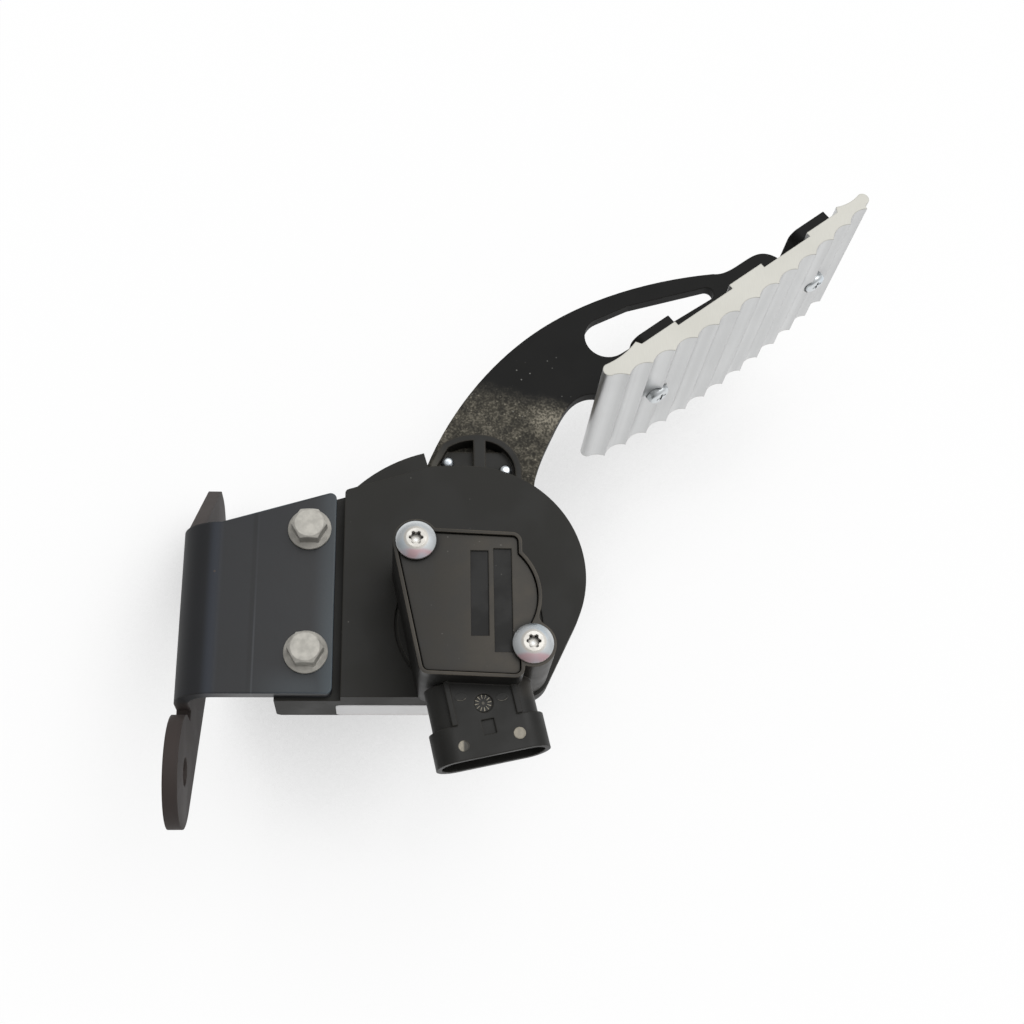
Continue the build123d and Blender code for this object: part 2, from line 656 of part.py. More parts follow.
def crown_face(inset):
    """The crown's arched outline on the root of the arm, set in by a wall thickness."""
    with BuildSketch() as face:
        with BuildLine():
            Polyline(*CROWN_LEFT)
            ThreePointArc(CROWN_LEFT[-1], CROWN_BULGES[0], CROWN_TOP)
            ThreePointArc(CROWN_TOP, CROWN_BULGES[1], CROWN_RIGHT)
            Polyline(CROWN_RIGHT, (CROWN_RIGHT[0], CROWN_FEET_Y), CROWN_LEFT[0])
        make_face()
        if inset:
            offset(amount=-inset, mode=Mode.REPLACE)
    return face.sketch


# Rotor: hub, waist and an arched crown with a rib and two windows
with BuildPart() as rotor:
    with BuildSketch(Plane.XY.offset(ARM_TOP_Z)) as floor:
        with BuildLine():
            CenterArc(PIVOT, HUB_R, 0, 360)
            Line((RIB_X - ROTOR_WAIST / 2, CROWN_FEET_Y), (RIB_X + ROTOR_WAIST / 2, CROWN_FEET_Y))
        make_hull()
        add(crown_face(0))
    extrude(amount=CROWN_FLOOR_Z - ARM_TOP_Z)
    with BuildSketch(Plane.XY.offset(CROWN_FLOOR_Z)) as arch:
        add(crown_face(0))
        add(crown_face(CROWN_WALL), mode=Mode.SUBTRACT)
        rib_l = CROWN_TOP[1] - CROWN_FEET_Y - CROWN_WALL / 2
        with Locations((RIB_X, CROWN_FEET_Y)):
            Rectangle(RIB_W, rib_l, align=(Align.CENTER, Align.MIN))
    extrude(amount=CROWN_Z - CROWN_FLOOR_Z)
    with BuildSketch(Plane.XY.offset(ARM_TOP_Z)) as windows:
        add(crown_face(CROWN_WALL))
        with Locations((RIB_X, WINDOW_Y)):
            Rectangle(PAD_L, PAD_L, align=(Align.CENTER, Align.MIN), mode=Mode.INTERSECT)
            Rectangle(RIB_W, PAD_L, mode=Mode.SUBTRACT)
    extrude(amount=CROWN_FLOOR_Z - ARM_TOP_Z, mode=Mode.SUBTRACT)
    with BuildSketch(pivot_plane.offset(CROWN_FLOOR_Z)):
        Circle(HUB_R)
    extrude(amount=CROWN_Z - CROWN_FLOOR_Z)
    with BuildSketch(pivot_plane.offset(CROWN_Z)):
        Circle(SLEEVE_R)
    extrude(amount=SLEEVE_Z - CROWN_Z)
    with BuildSketch(pivot_plane.offset(arm_z)):
        Circle(SPIGOT_R)
    extrude(amount=SHEET)
    with BuildSketch(pivot_plane.offset(arm_z)):
        add(flat_shaft(SHAFT_R + FIT_CLEAR, FLAT_X + FIT_CLEAR))
    extrude(amount=SLEEVE_Z - arm_z, mode=Mode.SUBTRACT)
    with BuildSketch(Plane.XY.offset(ARM_TOP_Z)):
        with Locations(*ROTOR_SCREW_XY):
            Circle(M3_R + FIT_CLEAR)
    extrude(amount=CROWN_FLOOR_Z - ARM_TOP_Z, mode=Mode.SUBTRACT)
save(rotor, "rotor")

with BuildPart() as dome_screw:
    Cylinder(DOME_R, DOME_H, align=(Align.CENTER, Align.CENTER, Align.MIN))
    fillet(edges().group_by(Axis.Z)[-1], DOME_H - DOME_EDGE)
    Cylinder(M3_R, CROWN_FLOOR_Z - arm_z, align=(Align.CENTER, Align.CENTER, Align.MAX))
with BuildPart() as rotor_screws:
    with Locations(*[(x, y, CROWN_FLOOR_Z) for x, y in ROTOR_SCREW_XY]):
        add(dome_screw.part)
save(rotor_screws, "rotor_screws")

# Arm: a flat blade from the hub to the pad, with two tabs folded up behind the pad
with BuildPart() as pedal_arm:
    with BuildSketch(Plane.XY.offset(arm_z)) as blade:
        flare = radians(ROOT_FLARE)
        hub_left = (PIVOT[0] - HUB_R * cos(flare), PIVOT[1] + HUB_R * sin(flare))
        hub_right = (PIVOT[0] + HUB_R * cos(flare), PIVOT[1] - HUB_R * sin(flare))
        tab_left = on_pad(tab_us[0] - TAB_L / 2, tab_front_w)
        tab_right = on_pad(tab_us[1] + TAB_L / 2, tab_front_w)
        with BuildLine():
            Line(hub_left, ARM_BACK[0])
            Spline(*ARM_BACK)
            Spline(ARM_BACK[-1], *ARM_LOBE, tab_right)
            Line(tab_right, tab_left)
            Spline(tab_left, *ARM_FRONT)
            Line(ARM_FRONT[-1], hub_right)
            ThreePointArc(hub_right, (PIVOT[0], PIVOT[1] - HUB_R), hub_left)
        make_face()
        add(hull_of_rounds(HOLE_ROUNDS), mode=Mode.SUBTRACT)
        with Locations(PIVOT):
            Circle(SPIGOT_R + FIT_CLEAR, mode=Mode.SUBTRACT)
    extrude(amount=SHEET)
    with BuildSketch(Plane.XY.offset(arm_z)):
        with Locations(*ROTOR_SCREW_XY):
            Circle(M3_R + FIT_CLEAR)
    extrude(amount=SHEET, mode=Mode.SUBTRACT)
    for place, screw in zip(tab_us, pad_screw_us):
        centre = on_pad(place, 0)
        across = Plane(origin=(*centre, 0), x_dir=pad_plane.y_dir, z_dir=pad_plane.x_dir)
        with BuildSketch(across) as fold:
            with Locations((tab_front_w, ARM_TOP_Z + TAB_BEND_R)):
                Circle(TAB_BEND_R + SHEET)
                Circle(TAB_BEND_R, mode=Mode.SUBTRACT)
                Rectangle(
                    TAB_BEND_R + SHEET,
                    TAB_BEND_R + SHEET,
                    align=(Align.MAX, Align.MAX),
                    mode=Mode.INTERSECT,
                )
        extrude(amount=TAB_L / 2, both=True)
        flat = Plane(
            origin=(*on_pad(place, LAND_W + SHEET), 0),
            x_dir=pad_plane.x_dir,
            z_dir=-pad_plane.y_dir,
        )
        with BuildSketch(flat) as tab:
            with Locations((0, ARM_TOP_Z + TAB_BEND_R)):
                Rectangle(TAB_L, TAB_TOP_Z - ARM_TOP_Z - TAB_BEND_R, align=(Align.CENTER, Align.MIN))
            fillet(vertices().group_by(Axis.Y)[-1].sort_by(Axis.X)[0], TAB_CORNER_R)
            fillet(vertices().group_by(Axis.Y)[-1].sort_by(Axis.X)[-1], TAB_EDGE_R)
            with Locations((screw - place, PAD_SCREW_Z)):
                Circle(PAD_SCREW_R + FIT_CLEAR, mode=Mode.SUBTRACT)
        extrude(amount=SHEET)
save(pedal_arm, "pedal_arm")


def crown_height(along):
    """Height of the pad's crowned front at a place along it."""
    share = (along - RIDGE_ENDS[0]) / (PAD_L - sum(RIDGE_ENDS))
    level = CROWN_ENDS[0] * (1 - share) + CROWN_ENDS[1] * share
    return level + 4 * CROWN_RISE * share * (1 - share)


pad_front = max(CROWN_ENDS) + CROWN_RISE
seat_ws = [SEAT_SINK - crown_height(screw) for screw in pad_screw_us]


# Pad: an extrusion with ridges in front, lands and lips behind
with BuildPart() as pedal_pad:
    pitch = (PAD_L - sum(RIDGE_ENDS)) / (RIDGES - 1)
    ridge = [RIDGE_ENDS[0] + pitch * step for step in range(RIDGES)]
    with BuildSketch(pad_plane.offset(PAD_Z[0])) as profile:
        with BuildLine():
            for left, right in zip(ridge, ridge[1:]):
                middle = (left + right) / 2
                ThreePointArc(
                    (left, -crown_height(left)),
                    (middle, FLUTE - crown_height(middle)),
                    (right, -crown_height(right)),
                )
            for end, inward, outermost in ((0, 1, ridge[0]), (PAD_L, -1, ridge[-1])):
                shoulder = (end + inward * NOSE_R, -NOSE_R)
                SagittaArc((outermost, -crown_height(outermost)), shoulder, -inward * NOSE_SAG)
                ThreePointArc(shoulder, (end, 0), (end + inward * NOSE_R, NOSE_R))
            lip_left = lands[0][0] - LIP_T
            lip_right = lands[-1][1] + LIP_T
            ThreePointArc((NOSE_R, NOSE_R), (lip_left / 2, LIP_W - NOSE_DIP), (lip_left, LIP_W))
            Polyline((lip_left, LIP_W), (lands[0][0], LAND_W), (lands[0][1], LAND_W))
            for land, following in zip(lands, lands[1:]):
                Polyline(
                    (land[1], LAND_W),
                    (land[1], BACK_W),
                    (following[0], BACK_W),
                    (following[0], LAND_W),
                )
            Line((lands[1][0], LAND_W), (lands[1][1], LAND_W))
            Polyline((lands[2][0], LAND_W), (lands[2][1], LAND_W), (lip_right, LIP_W))
            nose_right = (PAD_L - NOSE_R, NOSE_R)
            ThreePointArc((lip_right, LIP_W), ((lip_right + PAD_L) / 2, LIP_W - NOSE_DIP), nose_right)
        make_face()
    extrude(amount=PAD_Z[1] - PAD_Z[0])
    for place, seat_w in zip(pad_screw_us, seat_ws):
        front = Plane(origin=(*on_pad(place, 0), PAD_SCREW_Z), x_dir=(0, 0, 1), z_dir=pad_plane.y_dir)
        with BuildSketch(front):
            Circle(PAD_SCREW_R + FIT_CLEAR)
        extrude(amount=pad_front, both=True, mode=Mode.SUBTRACT)
        with BuildSketch(front.offset(seat_w)):
            Circle(PAD_HEAD_R + SEAT_CLEAR)
        extrude(amount=-pad_front, mode=Mode.SUBTRACT)
save(pedal_pad, "pedal_pad")

with BuildPart() as pan_screw:
    Cylinder(PAD_HEAD_R, PAD_HEAD_H, align=(Align.CENTER, Align.CENTER, Align.MIN))
    fillet(edges().group_by(Axis.Z)[-1], PAD_HEAD_ROUND)
    with BuildSketch(Plane.XY.offset(PAD_HEAD_H)):
        Rectangle(CROSS_L, CROSS_W)
        Rectangle(CROSS_W, CROSS_L)
    extrude(amount=-CROSS_DEPTH, taper=CROSS_TAPER, mode=Mode.SUBTRACT)
    Cylinder(PAD_SCREW_R, LAND_W + SHEET - min(seat_ws), align=(Align.CENTER, Align.CENTER, Align.MAX))
with BuildPart() as pad_screws:
    for place, seat_w in zip(pad_screw_us, seat_ws):
        seat = Plane(
            origin=(*on_pad(place, seat_w), PAD_SCREW_Z),
            x_dir=pad_plane.x_dir,
            z_dir=-pad_plane.y_dir,
        )
        with Locations(seat.location):
            add(pan_screw.part)
save(pad_screws, "pad_screws")


def sensor_face(ears):
    """The sensor's outline, with the given number of screw ears."""
    ear = sensor_screw_xy[0]
    side = plug_plane.x_dir * EAR_BOSS_R
    edge_top = (ear[0] - side.X, ear[1] - side.Y)
    run = (edge_top[1] - SENSOR_LOW_Y) * tan(radians(PLUG_TILT))
    with BuildSketch() as face:
        with BuildLine():
            Polyline(
                edge_top,
                (edge_top[0] + run, SENSOR_LOW_Y),
                (SENSOR_X, SENSOR_LOW_Y - SENSOR_LOW_LEAN),
                (SENSOR_X, SENSOR_TOP_YS[1]),
                (ear[0], SENSOR_TOP_YS[0]),
                close=True,
            )
        make_face()
        fillet(vertices().sort_by(Axis.Y)[:2], SENSOR_CORNER_R)
        fillet(vertices().group_by(Axis.X)[-1].sort_by(Axis.Y)[-1], SENSOR_CORNER_R)
        with Locations(SENSOR_BULGE):
            Circle(SENSOR_BULGE_R)
        with Locations(*sensor_screw_xy[:ears]):
            Circle(EAR_BOSS_R)
        if ears == len(sensor_screw_xy):
            crotch = (sensor_screw_xy[1][0], sensor_screw_xy[1][1] + EAR_BOSS_R)
            fillet(vertices().sort_by_distance(crotch)[0], SENSOR_CORNER_R)
    return face.sketch


def lid_face(inset):
    """The lid's outline, set in from the sensor's rim."""
    with BuildSketch() as face:
        add(sensor_face(ears=1))
        offset(amount=-inset, kind=Kind.INTERSECTION, mode=Mode.REPLACE)
        with Locations(*sensor_screw_xy):
            Circle(LID_NOTCH_R + inset - LID_RIM, mode=Mode.SUBTRACT)
    return face.sketch


lid_z = RIM_Z - LID_DROP - LID_T
pin_places = [PIN_PITCH * (step - (PIN_COUNT - 1) / 2) for step in range(PIN_COUNT)]
pin_leg_top = BOARD_Z + BOARD_T + PIN_STAND

# Sensor case with its connector shroud
with BuildPart() as sensor_body:
    with BuildSketch(Plane.XY.offset(FACE_Z)):
        add(sensor_face(ears=2))
    extrude(amount=RIM_Z - FACE_Z)
    with BuildSketch(pivot_plane.offset(FACE_Z)):
        Circle(SPIGOT_SEAT_R)
    extrude(amount=-SPIGOT_DEPTH)
    with BuildSketch(plug_plane.offset(-PLUG_REACH)) as neck:
        SlotOverall(*NECK)
        Rectangle(NECK_TABLE, COLLAR[1] / 2, align=(Align.CENTER, Align.MIN))
        with Locations((-RIB_PLACE, 0), (RIB_PLACE, 0)):
            Rectangle(RIB_SIZE[0], COLLAR[1] / 2 + RIB_SIZE[1], align=(Align.CENTER, Align.MIN))
    extrude(amount=PLUG_REACH - COLLAR[2])
    with BuildSketch(plug_plane) as collar:
        SlotOverall(COLLAR[0], COLLAR[1])
    extrude(amount=-COLLAR[2])
    # socket in two depths, sunk latch step and date ring
    for width, height, depth in (SOCKET, SOCKET_INNER):
        with BuildSketch(plug_plane):
            SlotOverall(width, height)
        extrude(amount=-depth, mode=Mode.SUBTRACT)
    with BuildSketch(plug_plane.offset(-LATCH_BACK)):
        with Locations((0, COLLAR[1] / 2)):
            Rectangle(LATCH[0], LATCH[2], align=(Align.CENTER, Align.MAX))
    extrude(amount=-LATCH[1], mode=Mode.SUBTRACT)
    wheel = plug_plane.from_local_coords(Vector(0, 0, -DATE_WHEEL_BACK))
    with BuildSketch(Plane(origin=(wheel.X, wheel.Y, PLUG_MOUTH[2] + COLLAR[1] / 2))):
        Circle(DATE_WHEEL_R)
        Circle(DATE_WHEEL_R - DATE_WHEEL_LINE, mode=Mode.SUBTRACT)
    extrude(amount=-DATE_WHEEL_LINE, mode=Mode.SUBTRACT)
    # inside: lid seat, board chamber, magnet well and room for the pin legs
    with BuildSketch(Plane.XY.offset(lid_z)):
        add(lid_face(LID_RIM))
    extrude(amount=LID_T + LID_DROP, mode=Mode.SUBTRACT)
    with BuildSketch(Plane.XY.offset(BOARD_Z)):
        add(lid_face(LID_RIM + LID_LEDGE))
    extrude(amount=lid_z - BOARD_Z, mode=Mode.SUBTRACT)
    with BuildSketch(pivot_plane.offset(FACE_Z - SPIGOT_DEPTH)):
        Circle(MAGNET_WELL_R)
    extrude(amount=BOARD_Z - FACE_Z + SPIGOT_DEPTH, mode=Mode.SUBTRACT)
    with BuildSketch(plug_plane.offset(-PIN_BEND + PIN_ROOM / 2)):
        with Locations((0, -PIN_ROOM / 2)):
            Rectangle(
                PIN_PITCH * PIN_COUNT,
                BOARD_Z - PLUG_MOUTH[2] + PIN_ROOM / 2,
                align=(Align.CENTER, Align.MIN),
            )
    extrude(amount=-PIN_ROOM, mode=Mode.SUBTRACT)
    with BuildSketch(plug_plane.offset(-PIN_TIP)):
        with Locations(*[(place, 0) for place in pin_places]):
            Rectangle(PIN[0] + 2 * PIN_CLEAR, PIN[1] + 2 * PIN_CLEAR)
    extrude(amount=PIN_TIP - PIN_BEND, mode=Mode.SUBTRACT)
    # seal groove and screw holes
    with BuildSketch(pivot_plane.offset(FACE_Z)):
        Circle(SEAL_R + SEAL_SECTION_R + SEAL_SIDE)
        Circle(SEAL_R - SEAL_SECTION_R - SEAL_SIDE, mode=Mode.SUBTRACT)
    extrude(amount=2 * SEAL_SECTION_R, mode=Mode.SUBTRACT)
    with BuildSketch(Plane.XY.offset(FACE_Z)):
        with Locations(*sensor_screw_xy):
            Circle(M5_R + FIT_CLEAR)
    extrude(amount=RIM_Z - FACE_Z, mode=Mode.SUBTRACT)
save(sensor_body, "sensor_body")

# Lid with two plain sunk panels
with BuildPart() as sensor_cover:
    with BuildSketch(Plane.XY.offset(lid_z)):
        add(lid_face(LID_RIM + LID_CLEAR))
    extrude(amount=LID_T)
    with BuildSketch(Plane.XY.offset(lid_z + LID_T)):
        for x_low, y_low, x_high, y_high in PANELS:
            with Locations((x_low, y_low)):
                Rectangle(x_high - x_low, y_high - y_low, align=(Align.MIN, Align.MIN))
    extrude(amount=-PANEL_D, mode=Mode.SUBTRACT)
save(sensor_cover, "sensor_cover")

with BuildPart() as circuit_board:
    with BuildSketch(Plane.XY.offset(BOARD_Z)):
        add(lid_face(LID_RIM + LID_LEDGE + LID_CLEAR))
    extrude(amount=BOARD_T)
    with BuildSketch(plug_plane.offset(-PIN_BEND - PIN[1] / 2)):
        with Locations(*[(place, BOARD_Z - PLUG_MOUTH[2]) for place in pin_places]):
            Rectangle(PIN[0] + 2 * PIN_CLEAR, 3 * BOARD_T)
    extrude(amount=PIN[1] / 2 + PIN_CLEAR, both=True, mode=Mode.SUBTRACT)
save(circuit_board, "circuit_board")

with BuildPart() as connector_pins:
    with BuildSketch(plug_plane.offset(-PIN_TIP)):
        with Locations(*[(place, 0) for place in pin_places]):
            Rectangle(*PIN)
    extrude(amount=PIN_TIP - PIN_BEND - PIN[1])
    with BuildSketch(plug_plane.offset(-PIN_BEND)):
        with Locations(*[(place, -PIN[1] / 2) for place in pin_places]):
            Rectangle(PIN[0], pin_leg_top - PLUG_MOUTH[2], align=(Align.CENTER, Align.MIN))
    extrude(amount=-PIN[1])
save(connector_pins, "connector_pins")

with BuildPart() as sensor_seal:
    with Locations((*PIVOT, FACE_Z + SEAL_SECTION_R)):
        Torus(SEAL_R, SEAL_SECTION_R)
save(sensor_seal, "sensor_seal")

# Magnet on the end of the shaft, read by the sensor
with BuildPart() as magnet_carrier:
    with BuildSketch(pivot_plane.offset(CARRIER_Z[0])):
        Circle(CARRIER_R)
    extrude(amount=CARRIER_Z[1] - CARRIER_Z[0])
    with BuildSketch(pivot_plane.offset(CARRIER_Z[0])):
        add(flat_shaft(SHAFT_R + FIT_CLEAR, FLAT_X + FIT_CLEAR))
    extrude(amount=SHAFT_FRONT_Z - CARRIER_Z[0] + FIT_CLEAR, mode=Mode.SUBTRACT)
    with BuildSketch(pivot_plane.offset(CARRIER_Z[1])):
        Circle(MAGNET_R + FIT_CLEAR)
    extrude(amount=-MAGNET_T, mode=Mode.SUBTRACT)
save(magnet_carrier, "magnet_carrier")
with BuildPart() as sensor_magnet:
    with BuildSketch(pivot_plane.offset(CARRIER_Z[1])):
        Circle(MAGNET_R)
    extrude(amount=-MAGNET_T)
save(sensor_magnet, "sensor_magnet")

# Sensor screws: wide shallow heads with a six-lobe recess in a raised ring
with BuildPart() as button_screw:
    with BuildSketch(Plane.XZ):
        with BuildLine():
            Polyline((0, SIX_LOBE_HEAD_H), (0, 0), (SIX_LOBE_HEAD_R, 0), (SIX_LOBE_HEAD_R, SIX_LOBE_EDGE))
            ThreePointArc(
                (SIX_LOBE_HEAD_R, SIX_LOBE_EDGE),
                SIX_LOBE_SLOPE,
                (SIX_LOBE_RING_R, SIX_LOBE_HEAD_H),
            )
            Line((SIX_LOBE_RING_R, SIX_LOBE_HEAD_H), (0, SIX_LOBE_HEAD_H))
        make_face()
    revolve(axis=Axis.Z)
    fillet(edges().group_by(Axis.Z)[-1], SIX_LOBE_EDGE / 2)
    with BuildSketch(Plane.XY.offset(SIX_LOBE_HEAD_H)):
        Circle(SIX_LOBE_CIRCLE_R)
        with PolarLocations(SIX_LOBE_CIRCLE_R, 6):
            Circle(SIX_LOBE_ROUND_R)
    extrude(amount=-SIX_LOBE_DEPTH, mode=Mode.SUBTRACT)
    Cylinder(
        M5_R,
        RIM_Z - FACE_Z + SENSOR_INSERT_L,
        align=(Align.CENTER, Align.CENTER, Align.MAX),
    )
with BuildPart() as sensor_screws:
    with Locations(*[(x, y, RIM_Z) for x, y in sensor_screw_xy]):
        add(button_screw.part)
save(sensor_screws, "sensor_screws")

with BuildPart() as sensor_inserts:
    with BuildSketch(Plane.XY.offset(FACE_Z)):
        with Locations(*sensor_screw_xy):
            Circle(M5_R + INSERT_WALL)
            Circle(M5_R + FIT_CLEAR, mode=Mode.SUBTRACT)
    extrude(amount=-SENSOR_INSERT_L)
save(sensor_inserts, "sensor_inserts")
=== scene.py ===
"""Finishes, small moulded details and a studio stage for a suspended accelerator pedal.

Lengths are metres in the pedal's own frame: the origin lies midway between the two
bulkhead bolt holes, +X points at the driver and +Z runs along the pivot axis.
"""

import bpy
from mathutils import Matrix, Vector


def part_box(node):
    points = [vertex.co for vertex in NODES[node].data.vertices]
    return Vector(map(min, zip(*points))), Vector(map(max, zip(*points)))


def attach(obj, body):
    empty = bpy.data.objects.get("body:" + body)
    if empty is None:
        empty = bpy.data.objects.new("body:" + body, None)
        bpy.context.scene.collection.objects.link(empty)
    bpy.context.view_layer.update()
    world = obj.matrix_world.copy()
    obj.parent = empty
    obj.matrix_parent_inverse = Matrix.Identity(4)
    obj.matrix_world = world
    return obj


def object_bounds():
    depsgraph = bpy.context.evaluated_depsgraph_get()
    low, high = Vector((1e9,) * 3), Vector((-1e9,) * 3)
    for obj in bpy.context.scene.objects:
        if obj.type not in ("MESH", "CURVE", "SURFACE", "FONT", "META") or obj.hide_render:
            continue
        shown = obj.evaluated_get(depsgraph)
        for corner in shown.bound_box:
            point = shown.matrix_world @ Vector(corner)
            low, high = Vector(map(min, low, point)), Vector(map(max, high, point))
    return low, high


bl_info = {
    "name": "Accelerator Pedal Finishes",
    "version": (1, 0, 0),
    "blender": (4, 5, 0),
    "location": "3D View > Sidebar > Pedal",
    "description": "Dresses an accelerator pedal and sets it on a pale stage",
    "category": "Object",
}

from math import cos, pi, radians, sin

import bpy
import numpy as np
from bpy.props import FloatProperty, FloatVectorProperty, IntProperty, PointerProperty
from mathutils import Matrix, Vector

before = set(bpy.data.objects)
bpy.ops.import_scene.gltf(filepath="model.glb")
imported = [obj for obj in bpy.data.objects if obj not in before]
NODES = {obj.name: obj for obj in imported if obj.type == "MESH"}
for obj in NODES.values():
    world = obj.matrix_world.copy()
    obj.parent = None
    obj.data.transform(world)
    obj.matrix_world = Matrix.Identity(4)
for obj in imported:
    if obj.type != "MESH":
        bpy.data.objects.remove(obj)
CAD_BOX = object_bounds()

RIM_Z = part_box("sensor_body")[1].z
PLATE_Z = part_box("housing")[1].z
WALL_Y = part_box("housing")[0].y
WALL_LOW_Z = 0.022
PLUG_MOUTH = Vector((0.0979, -0.0528, 0.0645))
PLUG_TILT = radians(11.8)
PLUG_ACROSS = Vector((cos(PLUG_TILT), sin(PLUG_TILT), 0))
PLUG_BACK = Vector((-sin(PLUG_TILT), cos(PLUG_TILT), 0))
PAD_LOW_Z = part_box("pedal_pad")[0].z
PAD_TOP_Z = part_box("pedal_pad")[1].z
LID_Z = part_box("sensor_cover")[1].z
BUTTON_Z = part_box("sensor_screws")[1].z
DUST_SLANT = 0.222       # fall of the arm's dust line along X
DUST_LINE = 0.115        # its height where X is zero
DUST_RAGGED = 0.012      # how far it wanders
DUST_HEAP = (0.1235, 0.0815)
STRAY_SPECKS = (0.1115, 0.0965)
LABEL_GAP = 0.0004       # wall's lower edge to the label
FLOOR_GAP = 0.0002       # lowest solid to the floor
CONTACT_SPAN = (0.46, 0.90)   # open share of the sky over which the floor's white returns

# Spans along X or Y: where a mask rises, and where it falls
# Where a painted bluish highlight lies along the bend of the fold
FOLD_HIGHLIGHT_SPAN = ((0.0085, 0.0112), (0.0145, 0.0118))
# Where painted shade marks the press groove
PRESS_GROOVE = ((0.0226, 0.0236), (0.0247, 0.0241))
PRESS_LINE = ((0.0244, 0.0247), (0.0252, 0.0249))
SCREW_BOSS = ((-0.012, -0.020), (-0.037, -0.033))
# Where a painted shadow lies on the left ejector mark
SHADOWED_HALF = ((0.0884, 0.0891), (0.095, 0.094))

# Colours of wear, grime, painted light and shade, and the pieces inside
PALE_SPECK = (0.22, 0.21, 0.19)
FLANGE_BROWN = (0.042, 0.031, 0.027)
# Painted bluish highlight along the bend of the fold
FOLD_HIGHLIGHT_BLUE = (0.024, 0.029, 0.040)
PRESS_STEEL = (0.06, 0.066, 0.074)
# Painted pale blue sheen towards the bolted end and along the plate's lower edge
SHEEN_BLUE = (0.062, 0.080, 0.092)
EDGE_BROWN = (0.085, 0.068, 0.055)
EDGE_BLUE = (0.22, 0.28, 0.33)
RUST = (0.09, 0.062, 0.045)
STRAY_GRIT = (0.30, 0.30, 0.28)
ARM_EDGE = (0.10, 0.09, 0.08)
# Painted highlight along the pad's ridges and edges
PAD_RIDGE_HIGHLIGHT = (0.80, 0.79, 0.77)
# Painted pink reflection on the sensor screws' flanges
PINK_REFLECTION = (0.70, 0.49, 0.52)
ZINC_BLUE = (0.60, 0.71, 0.80)
ZINC_EDGE = (0.80, 0.82, 0.84)
ZINC_HANDLED = (0.64, 0.615, 0.57)
# Painted shade on the screws deep in the crown
ZINC_DEEP_SHADE = (0.27, 0.29, 0.31)
# Painted shade where a bolt's hexagon meets its flange
BOLT_FOOT_SHADE = (0.15, 0.135, 0.115)
BOLT_EDGE = (0.52, 0.51, 0.48)
LABEL_SOIL = (0.62, 0.55, 0.52)
RUBBER = (0.012, 0.012, 0.012)
RUBBER_EDGE = (0.05, 0.05, 0.05)
LINING = (0.16, 0.12, 0.09)
LINING_EDGE = (0.22, 0.18, 0.14)
TINNED_PIN = ((0.72, 0.66, 0.50), (0.62, 0.58, 0.48))
FERRITE = ((0.10, 0.10, 0.11), (0.07, 0.07, 0.075))

CAMERA_PLACE = (0.0677, -0.1575, 0.4940)
CAMERA_RIGHT = Vector((0.99689, -0.01956, 0.07654))
CAMERA_UP = Vector((-0.01166, 0.92186, 0.38737))


class PedalSizes(bpy.types.PropertyGroup):
    """Sizes of the small details that the solids leave bare"""

    label_length: FloatProperty(
        name="Label Length", description="Bare label along the housing wall",
        default=0.036, unit="LENGTH")
    label_height: FloatProperty(
        name="Label Height", description="Bare label along the pivot axis",
        default=0.0114, unit="LENGTH")
    label_corner: FloatProperty(
        name="Label Corner", description="Corner radius of the label",
        default=0.0009, unit="LENGTH")
    label_thickness: FloatProperty(
        name="Label Thickness", description="Film thickness of the label",
        default=0.00012, unit="LENGTH")
    label_start: FloatProperty(
        name="Label Start", description="End of the label nearest the bracket",
        default=0.0503, unit="LENGTH")
    wheel_radius: FloatProperty(
        name="Date Wheel Radius", description="Radius of the ticked insert on the plug shroud",
        default=0.0026, unit="LENGTH")
    wheel_ticks: IntProperty(
        name="Date Wheel Ticks", description="Number of radial ticks", default=12, min=3)
    wheel_relief: FloatProperty(
        name="Date Wheel Relief", description="Height of the ticks",
        default=0.00016, unit="LENGTH")
    pin_mark_radius: FloatProperty(
        name="Ejector Mark Radius", description="Radius of the two pale ejector marks",
        default=0.00178, unit="LENGTH")
    oval_radius: FloatProperty(
        name="Oval Radius", description="Half length of the faint ovals beside the wheel",
        default=0.0019, unit="LENGTH")


